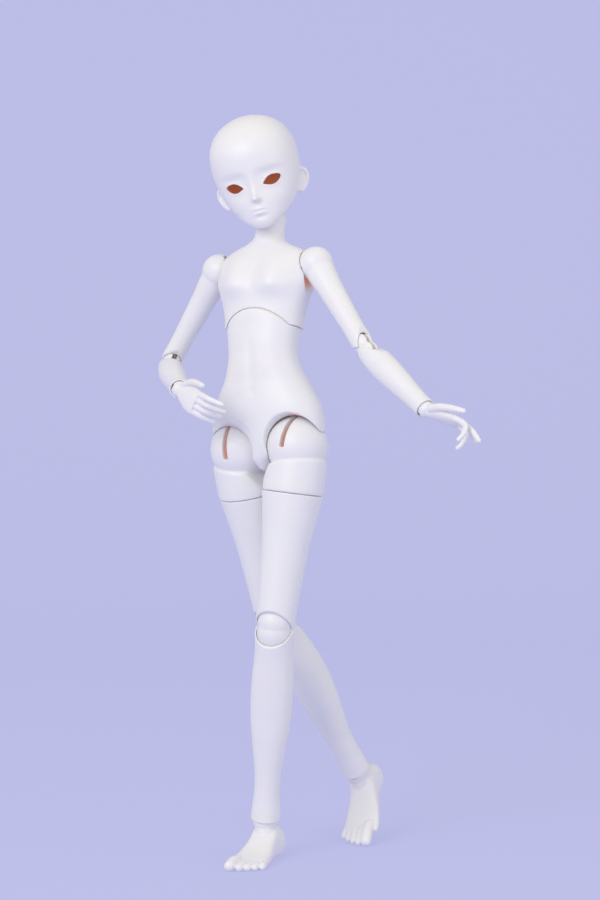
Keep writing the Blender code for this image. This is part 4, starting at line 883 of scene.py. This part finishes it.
def sector(radius, first, last, half_width=SLOT_HALF_WIDTH, steps=24):
    """A slot cutter: a wedge of a disc in the YZ plane, by angles from +Z towards the front."""
    reach = radius + SLOT_PAST_BALL
    angles = [radians(first + (last - first) * i / steps) for i in range(steps + 1)]
    middle = (angles[0] + angles[-1]) / 2
    heel = (half_width * sin(middle), -half_width * cos(middle))
    edges = [(-half_width * cos(a) * turn, -half_width * sin(a) * turn)
             for a, turn in ((angles[0], -1), (angles[-1], 1))]
    arc = [(-reach * sin(a), reach * cos(a)) for a in angles]
    first_edge = (arc[0][0] + edges[0][0], arc[0][1] + edges[0][1])
    last_edge = (arc[-1][0] + edges[1][0], arc[-1][1] + edges[1][1])
    return prism([edges[0], first_edge, *arc[1:-1], last_edge, edges[1], heel],
                 -half_width, half_width)


for side in SIDE:
    turn, bend, lean = HAND_POSE[side]
    hand_at = stand(arm_joints[side], (0, 0, -FOREARM_LENGTH),
                    ("Z", turn), ("X", bend), ("Y", lean))
    palm = [(-PALM_LENGTH * along, PALM_WIDTH * wide, *(2 * (PALM_THICKNESS * thick,)))
            for along, wide, thick in PALM_SHARES]
    forms = [shell(loft(palm, power=2.3)), ball(WRIST_BALL)]
    for name, (across, length) in FINGERS.items():
        place = Vector((across * PALM_WIDTH, 0, -PALM_LENGTH * 0.93))
        joints, curled = [place.copy()], 0.0
        for share, curl in zip(PHALANX_SHARES, CURLS[side][name]):
            curled += radians(curl)
            way = Vector((across * 0.12, sin(curled), -cos(curled)))
            place = place + FINGER_LENGTH * length * share * way
            joints.append(place.copy())
        forms.append(digit(joints, FINGER_RADIUS, FINGER_RADIUS * 0.68))
    thumb = [(x * PALM_WIDTH, y * PALM_THICKNESS, -z * PALM_LENGTH) for x, z, y in THUMB_SHARES]
    forms.append(digit(thumb, FINGER_RADIUS * 1.35, FINGER_RADIUS * 0.8))
    cuts, bar = barred(WRIST_BALL, -60, 60)
    limb(side, "hand", forms, cuts, hand_at, grow=6, ease=2, grain=0.6, warm=HAND_SHADE_DEPTH,
         added=bar)

# The legs. The thigh is cast in two, the upper with the hip's slotted ball and the lower
# turning in it on a peg. Knee, shin and foot follow, all bored for the elastic.
THIGH_LENGTH = 0.136
KNEE_LINK = 0.008
SHIN_LENGTH = 0.154
ANKLE_HEIGHT = 0.030
KNEE_BALL = 0.0152
ANKLE_BALL = 0.0096
KNEE_SQUEEZE = 0.88
HIP_WIDTH = 0.0240
HIP_DEPTH = 0.0232
SWIVEL_DROP = 0.0360
SWIVEL_PEG = 0.0120
SWIVEL_PEG_HEIGHT = 0.0080
THIGH_SHIFT = 0.0010
KNEE_WIDTH = 0.0152
KNEE_DEPTH = 0.0164
KNEE_SLOPES = (37, 56)
CREASE_SHARES = (0.98, 0.42, 0.10)
PEG_ROOT = 0.004
UPPER_THIGH_SHARES = ((0.12, 0.92, 0.92), (0.25, 0.97, 0.96), (0.50, 1.0, 0.98),
                      (0.80, 1.0, 1.0), (1.0, 0.98, 1.0))
LOWER_THIGH_SHARES = ((0.0, 0.94), (0.19, 0.64), (0.42, 0.33), (0.68, 0.14), (0.86, 0.04),
                      (1.0, 0.0), (1.06, 0.0))
ANKLE_WIDTH = 0.0116
SHIN_SHARES = ((-0.05, 1.0, 1.0, 0.98), (0.03, 0.97, 0.98, 0.97), (0.12, 0.96, 0.90, 1.0),
               (0.24, 1.05, 0.86, 1.14), (0.36, 1.07, 0.82, 1.20), (0.50, 0.99, 0.76, 1.10),
               (0.64, 0.81, 0.68, 0.87), (0.76, 0.66, 0.62, 0.71), (0.86, 0.67, 0.63, 0.67))
LEG_POSE = {
    "left": {"spread": 8.5, "swing": 5.4, "twist": 14.8, "knee": 14.7},
    "right": {"spread": -1.2, "swing": -14.0, "twist": -10.9, "knee": 20.7},
}

leg_joints = {}
for side, sign in SIDE.items():
    leg = LEG_POSE[side]
    fold = leg["knee"] / 2
    hip_at = stand(pelvis, (sign * HIP_HALF_SPAN, 0, 0), ("Y", leg["spread"]), ("X", -leg["swing"]))
    thigh_at = stand(hip_at, (0, 0, 0), ("Z", leg["twist"]))
    knee_at = stand(thigh_at, (0, 0, -THIGH_LENGTH), ("X", fold))
    shin_at = stand(knee_at, (0, 0, -KNEE_LINK), ("X", fold))
    leg_joints[side] = shin_at

    stations = [(-SWIVEL_DROP * along, HIP_WIDTH * wide, HIP_DEPTH * deep, HIP_DEPTH * deep,
                 THIGH_SHIFT, 0.0) for along, wide, deep in UPPER_THIGH_SHARES]
    reach = HIP_BALL * 2
    inner, middle, outer = (-SWIVEL_DROP * share for share in CREASE_SHARES)
    slope = [(-reach, inner * 2), (-HIP_WIDTH, inner), (-HIP_WIDTH * 0.5, middle), (reach, outer),
             (reach, reach), (-reach, reach)]
    seat = [(0, outer), (reach, outer - reach * 0.5), (reach, reach), (0, reach)]
    top = carved(shell(loft(stations)),
                 [prism(slope, -reach, reach, "XZ"), prism(seat, -reach, reach)])
    limb(side, "upper_thigh", [top, ball(HIP_BALL)],
         [sector(HIP_BALL, -32, 90),
          rod((0, 0, -SWIVEL_DROP - PEG_ROOT), (0, 0, -SWIVEL_DROP + SWIVEL_PEG_HEIGHT + SEAM),
              SWIVEL_PEG + CLEARANCE),
          rod((0, 0, -SWIVEL_DROP), (0, 0, 0), CORD_BORE)],
         hip_at, grow=30, ease=1, warm=TORSO_SHADE_DEPTH)

    top, bottom = -SWIVEL_DROP - SEAM * 0.6, -THIGH_LENGTH
    stations = [(top + (bottom - top) * along,
                 KNEE_WIDTH + (HIP_WIDTH * 1.02 - KNEE_WIDTH) * blend,
                 KNEE_DEPTH + (HIP_DEPTH - KNEE_DEPTH) * blend,
                 KNEE_DEPTH * 0.97 + (HIP_DEPTH - KNEE_DEPTH * 0.97) * blend,
                 THIGH_SHIFT * blend, 0.0) for along, blend in LOWER_THIGH_SHARES]
    knee, peg_top = (0, 0, bottom), top + SWIVEL_PEG_HEIGHT
    limb(side, "lower_thigh",
         [shell(loft(stations)), rod((0, 0, top - PEG_ROOT), (0, 0, peg_top), SWIVEL_PEG)],
         [fold_cut(bottom - KNEE_LINK / 2 + SEAM, 1, *KNEE_SLOPES, HIP_WIDTH * 2, KNEE_BALL),
          rod(knee, (0, 0, peg_top + PEG_ROOT), CORD_BORE),
          ball(KNEE_BALL + CLEARANCE, KNEE_SQUEEZE, knee)],
         thigh_at, grow=2, ease=1, grain=0.8)
    limb(side, "knee", *double_ball(KNEE_BALL, KNEE_SQUEEZE, KNEE_LINK, 1), knee_at,
         grow=4, grain=0.9, warm=LINK_SHADE_DEPTH)

    stations = [(-SHIN_LENGTH * along, KNEE_WIDTH * wide, KNEE_DEPTH * front, KNEE_DEPTH * back)
                for along, wide, front, back in SHIN_SHARES]
    cuff = -SHIN_LENGTH + ANKLE_BALL * 0.15
    stations += [(cuff + ANKLE_WIDTH * 0.9, *(3 * (ANKLE_WIDTH * 0.95,))),
                 (cuff, *(3 * (ANKLE_WIDTH,)))]
    limb(side, "shin", [shell(loft(stations))],
         [fold_cut(KNEE_LINK / 2 - SEAM, -1, *KNEE_SLOPES, HIP_WIDTH * 2, KNEE_BALL),
          rod((0, 0, 0), (0, 0, -SHIN_LENGTH), CORD_BORE),
          ball(KNEE_BALL + CLEARANCE, KNEE_SQUEEZE),
          ball(ANKLE_BALL + CLEARANCE, 1.0, (0, 0, -SHIN_LENGTH))],
         shin_at, grow=2, ease=1, grain=0.8)

# The feet. Each is one casting of a bare foot with five toes and a flat sole, with the
# ankle's ball on top, slotted across its bar as the hands are.
FOOT_POSE = {"left": (-0.91, -9.44, -6.06), "right": (21.23, 2.08, 1.8)}
FOOT_LENGTH = 0.0860
FOOT_WIDTH = 0.0150
HEEL_SHARE = 0.29
FOOT_SHARES = ((0.0, 0.0, 0.26, 0.28, 0.62), (0.03, 0.0, 0.56, 0.05, 0.80),
               (0.12, 0.0, 0.72, 0.0, 1.02), (0.28, 0.0, 0.72, 0.0, 1.16),
               (0.40, -0.03, 0.78, 0.0, 0.80), (0.56, -0.06, 0.92, 0.0, 0.48),
               (0.72, -0.08, 1.02, 0.0, 0.32), (0.80, -0.08, 0.98, 0.0, 0.25))
SOLE_FLAT = 0.0010
TOE_SHARES = ((-0.66, 0.300, 1.00), (-0.17, 0.212, 0.965), (0.20, 0.198, 0.93),
              (0.54, 0.186, 0.89), (0.85, 0.176, 0.84))

for side in SIDE:
    turn, bend, lean = FOOT_POSE[side]
    foot_at = stand(leg_joints[side], (0, 0, -SHIN_LENGTH),
                    ("Z", turn), ("X", bend), ("Y", lean))
    heel = FOOT_LENGTH * HEEL_SHARE
    sections = []
    for along, aside, wide, low, high in FOOT_SHARES:
        bottom, top = -ANKLE_HEIGHT * (1 - low) - SOLE_FLAT, -ANKLE_HEIGHT * (1 - high * 0.8)
        sections.append((heel - FOOT_LENGTH * along, FOOT_WIDTH * wide,
                         *(2 * ((top - bottom) / 2,)), aside * FOOT_WIDTH, -(top + bottom) / 2))
    lying = loft(sections, power=2.6)
    forms = [shell(lying[..., [0, 2, 1]])]
    neck_shape = [(-ANKLE_HEIGHT * 0.72, ANKLE_BALL, ANKLE_BALL * 1.35, ANKLE_BALL * 1.15),
                  (-ANKLE_HEIGHT * 0.45, ANKLE_BALL * 0.93, ANKLE_BALL * 1.05, ANKLE_BALL),
                  (-ANKLE_BALL * 0.5, ANKLE_BALL * 0.84, ANKLE_BALL * 0.86, ANKLE_BALL * 0.84)]
    forms += [shell(loft(neck_shape)), ball(ANKLE_BALL)]
    for aside, size, along in TOE_SHARES:
        radius = FOOT_WIDTH * size
        root = Vector((aside * FOOT_WIDTH * 0.94, heel - FOOT_LENGTH * 0.74,
                       radius * 1.1 - ANKLE_HEIGHT))
        tip = Vector((aside * FOOT_WIDTH, heel - FOOT_LENGTH * along + radius,
                      radius * 0.9 - ANKLE_HEIGHT))
        forms.append(digit([root, (root * 0.5 + tip * 0.5) + Vector((0, 0, radius * 0.25)), tip],
                           radius * 1.05, radius * 0.92))
    cuts, bar = barred(ANKLE_BALL, -48, 75)
    cuts.append(slab(-ANKLE_HEIGHT * 2, -ANKLE_HEIGHT, FOOT_LENGTH))
    limb(side, "foot", forms, cuts, foot_at, grow=4, ease=2, grain=0.75, warm=HAND_SHADE_DEPTH,
         added=bar)

# The elastic and hooks. One round braided elastic runs down each limb and through the
# torso, drawn here in the stretches between joints. Bent wire hooks hold its ends.
HOOK_RISE = 0.0075
EYE_NECK = HOOK_EYE * 1.75
BRAID_PITCH = 0.0034
BRAID_HEIGHT = 0.00012
BREAK = CORD_RADIUS + SEAM
steel = plain_finish("hook_steel", (0.60, 0.60, 0.62), 0.28, 1.0, 900.0, 0.00002)
elastic = plain_finish("braided_elastic", (0.80, 0.77, 0.72), 0.8, 0.0, 4200.0, 0.00012)
elastic_nodes = elastic.node_tree.nodes
braid_shade = elastic_nodes.new("ShaderNodeAttribute")
braid_shade.attribute_name = "braid"
# The elastic is one off-white colour; its colour is darkened in the grooves between the braid's
# raised strands as painted shade.
groove_shade_ramp = feed(elastic_nodes.new("ShaderNodeValToRGB"), Fac=braid_shade.outputs["Fac"])
groove_shade_ramp.color_ramp.elements[0].color = (0.42, 0.39, 0.36, 1.0)
groove_shade_ramp.color_ramp.elements[1].color = (0.84, 0.82, 0.78, 1.0)
feed(elastic_nodes["Principled BSDF"], Base_Color=groove_shade_ramp.outputs["Color"])


def tube_tree():
    """Geometry nodes: a tube along a line, with a braid raised on it where it has a ripple."""
    tree = bpy.data.node_groups.new("strung_tube", "GeometryNodeTree")
    for name, kind in (("Line", "Geometry"), ("Radius", "Float"), ("Spacing", "Float"),
                       ("Pitch", "Float"), ("Ripple", "Float"), ("Round", "Float"),
                       ("Finish", "Material")):
        tree.interface.new_socket(name, in_out="INPUT", socket_type=f"NodeSocket{kind}")
    tree.interface.new_socket("Tube", in_out="OUTPUT", socket_type="NodeSocketGeometry")
    new = tree.nodes.new
    given = new("NodeGroupInput").outputs

    def maths(operation, *values):
        node = new("ShaderNodeMath")
        node.operation = operation
        for socket, value in zip(node.inputs, values):
            if isinstance(value, bpy.types.NodeSocket):
                tree.links.new(value, socket)
            else:
                socket.default_value = value
        return node.outputs[0]

    def kept(geometry, name, value):
        node = new("GeometryNodeStoreNamedAttribute")
        node.data_type, node.domain = "FLOAT", "POINT"
        return feed(node, Name=name, Geometry=geometry, Value=value).outputs["Geometry"]

    def found(name):
        node = new("GeometryNodeInputNamedAttribute")
        node.data_type = "FLOAT"
        return feed(node, Name=name).outputs["Attribute"]

    spaced = new("GeometryNodeResampleCurve")
    spaced.mode = "LENGTH"
    feed(spaced, Curve=given["Line"], Length=given["Spacing"])
    run = new("GeometryNodeSplineParameter").outputs["Length"]
    line = kept(spaced.outputs["Curve"], "along", run)
    circle = feed(new("GeometryNodeCurvePrimitiveCircle"), Resolution=20, Radius=given["Radius"])
    turn = new("GeometryNodeSplineParameter").outputs["Factor"]
    profile = kept(circle.outputs["Curve"], "around", turn)
    start = maths("MAXIMUM", maths("MINIMUM", maths("DIVIDE", run, given["Radius"]), 1.0), 0.03)
    dome = maths("SQRT", maths("MULTIPLY", start, maths("SUBTRACT", 2.0, start)))
    tube = feed(new("GeometryNodeCurveToMesh"), Curve=line, Profile_Curve=profile, Fill_Caps=True,
                Scale=maths("MAXIMUM", dome, maths("SUBTRACT", 1.0, given["Round"])))

    climb = maths("DIVIDE", maths("MULTIPLY", found("along"), 2 * pi), given["Pitch"])
    round_it = maths("MULTIPLY", found("around"), 8 * pi)
    braid = maths("MAXIMUM", maths("SINE", maths("ADD", round_it, climb)),
                  maths("SINE", maths("SUBTRACT", round_it, climb)))
    outward = new("ShaderNodeVectorMath")
    outward.operation = "SCALE"
    feed(outward, Vector=new("GeometryNodeInputNormal").outputs["Normal"],
         Scale=maths("MULTIPLY", braid, given["Ripple"]))
    # The braid value raises the strands, and is also kept as an attribute that paints shade into
    # the grooves between them.
    raised = feed(new("GeometryNodeSetPosition"), Offset=outward.outputs["Vector"],
                  Geometry=kept(tube.outputs["Mesh"], "braid", braid))
    whole = feed(new("GeometryNodeRealizeInstances"), Geometry=raised.outputs["Geometry"])
    coated = feed(new("GeometryNodeSetMaterial"), Geometry=whole.outputs["Geometry"],
                  Material=given["Finish"])
    feed(new("NodeGroupOutput"), Tube=coated.outputs["Geometry"])
    return tree


tube_nodes = tube_tree()


def strung(name, body, place, points, radius=CORD_RADIUS, ripple=BRAID_HEIGHT, dome=0.0,
           coat=elastic):
    """One stretch of elastic or one hook, on its joint and in place of its plain solid."""
    line = bpy.data.curves.new(name, "CURVE")
    line.dimensions = "3D"
    spline = line.splines.new("POLY")
    spline.points.add(len(points) - 1)
    for point, spot in zip(spline.points, points):
        point.co = (*(place @ Vector(spot)), 1.0)
    path = placed(f"{name}_path", line)
    tube = path.modifiers.new("tube", "NODES")
    tube.node_group = tube_nodes
    chosen = {"Radius": radius, "Spacing": radius * 0.35, "Pitch": BRAID_PITCH,
              "Ripple": ripple, "Round": dome, "Finish": coat}
    for socket in tube_nodes.interface.items_tree:
        if socket.in_out == "INPUT" and socket.name in chosen:
            tube[socket.identifier] = chosen[socket.name]
    graph = bpy.context.evaluated_depsgraph_get()
    mesh = bpy.data.meshes.new_from_object(path.evaluated_get(graph))
    bpy.data.objects.remove(path)
    mesh.shade_smooth()
    piece = placed(f"{name}_strung", mesh)
    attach(piece, body)
    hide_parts(name)


def stretch(name, body, place, start, end, dome=1.0):
    """A straight stretch of elastic, with a round end where it turns about its joint."""
    start, end = Vector(start), Vector(end)
    back = (start - end).normalized() * CORD_RADIUS * dome
    strung(name, body, place, [start + back, start, end], dome=dome)


def limb_stretch(side, part, body, place, end):
    """The stretch from a joint down the inside of a limb."""
    stretch(f"{side}_{part}_elastic", f"{side}_{body}", place, (0, 0, 0), (0, 0, end))


def eye_arc(height, first, last, steps=14):
    """Points of a wire eye in the YZ plane, by angles from +Y towards +Z."""
    angles = [radians(first + (last - first) * i / steps) for i in range(steps + 1)]
    return [(0.0, HOOK_EYE * cos(a), height + HOOK_EYE * sin(a)) for a in angles]


def wire_hook(name, place, points):
    strung(name, name, place, points, WIRE_RADIUS, 0.0, 0.0, steel)


def limb_hook(name, place, radius):
    """A wire with an eye round the bar of a ball and another for the elastic."""
    top = radius + HOOK_RISE
    wire_hook(name, place, [*eye_arc(0.0, 50, -222), (0.0, 0.0, EYE_NECK),
                            (0.0, 0.0, top - EYE_NECK), *eye_arc(top, -42, 230)])


def hook_top(radius):
    return radius + HOOK_RISE + HOOK_EYE + WIRE_RADIUS + SEAM


neck_foot = WAIST_TO_NECK - NECK_BALL * 1.6 - HOOK_EYE - WIRE_RADIUS - SEAM
stretch("torso_elastic", "waist_link", stand(pelvis, waist, ("X", LUMBAR_CURVE)), (0, 0, 0),
        (0, NECK_SET_BACK, neck_foot))
inside = SHOULDER_HALF_SPAN - SHOULDER_BALL - SEAM
bow = CORD_RADIUS * 2 + CLEARANCE * 2
strung("chest_arm_elastic", "chest", chest_at,
       [(inside * along, -bow * cos(along * pi / 2) ** 4, WAIST_TO_SHOULDER)
        for along in (i / 12 for i in range(-12, 13))])
low, high = -NECK_BALL * 1.6, NECK_BALL + HEAD_WALL + CLEARANCE
bend = HOOK_EYE * 1.55
crook = [(bend - bend * cos(radians(a)), 0.0, high + bend * 1.1 + bend * sin(radians(a)))
         for a in range(0, 181, 12)]
wire_hook("neck_hook", head_turned, [*eye_arc(low, 130, 402), (0.0, 0.0, low + EYE_NECK), *crook])
for side, sign in SIDE.items():
    arm, leg = ARM_POSE[side], LEG_POSE[side]
    forearm_at, shin_at = arm_joints[side], leg_joints[side]
    swing_at = stand(chest_at, (sign * SHOULDER_HALF_SPAN, 0, WAIST_TO_SHOULDER),
                     ("X", arm["swing"]))
    raise_at = stand(swing_at, (0, 0, 0), ("Y", arm["raise"]))
    elbow_at = stand(stand(raise_at, (0, 0, 0), ("Z", arm["twist"])),
                     (0, 0, -UPPER_ARM_LENGTH), ("X", -arm["elbow"] / 2))
    stretch(f"{side}_shoulder_elastic", f"{side}_shoulder_link", swing_at,
            (-sign * BREAK, 0, 0), (-sign * (SHOULDER_BALL - SEAM), 0, 0), 0.0)
    limb_stretch(side, "upper_arm", "arm_link", raise_at, BREAK - UPPER_ARM_LENGTH)
    limb_stretch(side, "elbow", "elbow", elbow_at, BREAK - ELBOW_LINK)
    limb_stretch(side, "forearm", "forearm", forearm_at, hook_top(WRIST_BALL) - FOREARM_LENGTH)
    limb_hook(f"{side}_wrist_hook",
              stand(forearm_at, (0, 0, -FOREARM_LENGTH), ("Z", HAND_POSE[side][0])), WRIST_BALL)

    spread_at = stand(pelvis, (sign * HIP_HALF_SPAN, 0, 0), ("Y", leg["spread"]))
    swing_at = stand(spread_at, (0, 0, 0), ("X", -leg["swing"]))
    knee_at = stand(stand(swing_at, (0, 0, 0), ("Z", leg["twist"])),
                    (0, 0, -THIGH_LENGTH), ("X", leg["knee"] / 2))
    stretch(f"{side}_pelvis_elastic", "pelvis", pelvis,
            (sign * HIP_HALF_SPAN, 0, HIP_BALL + CLEARANCE * 2),
            (sign * (CORD_RADIUS + CLEARANCE), 0, PELVIS_TO_WAIST - CORD_RADIUS * 0.85), 0.0)
    stretch(f"{side}_hip_elastic", f"{side}_hip_link", spread_at,
            (0, 0, BREAK), (0, 0, HIP_BALL - SEAM), 0.0)
    limb_stretch(side, "thigh", "upper_thigh", swing_at, BREAK - THIGH_LENGTH)
    limb_stretch(side, "knee", "knee", knee_at, BREAK - KNEE_LINK)
    limb_stretch(side, "shin", "shin", shin_at, hook_top(ANKLE_BALL) - SHIN_LENGTH)
    limb_hook(f"{side}_ankle_hook",
              stand(shin_at, (0, 0, -SHIN_LENGTH), ("Z", FOOT_POSE[side][0])), ANKLE_BALL)
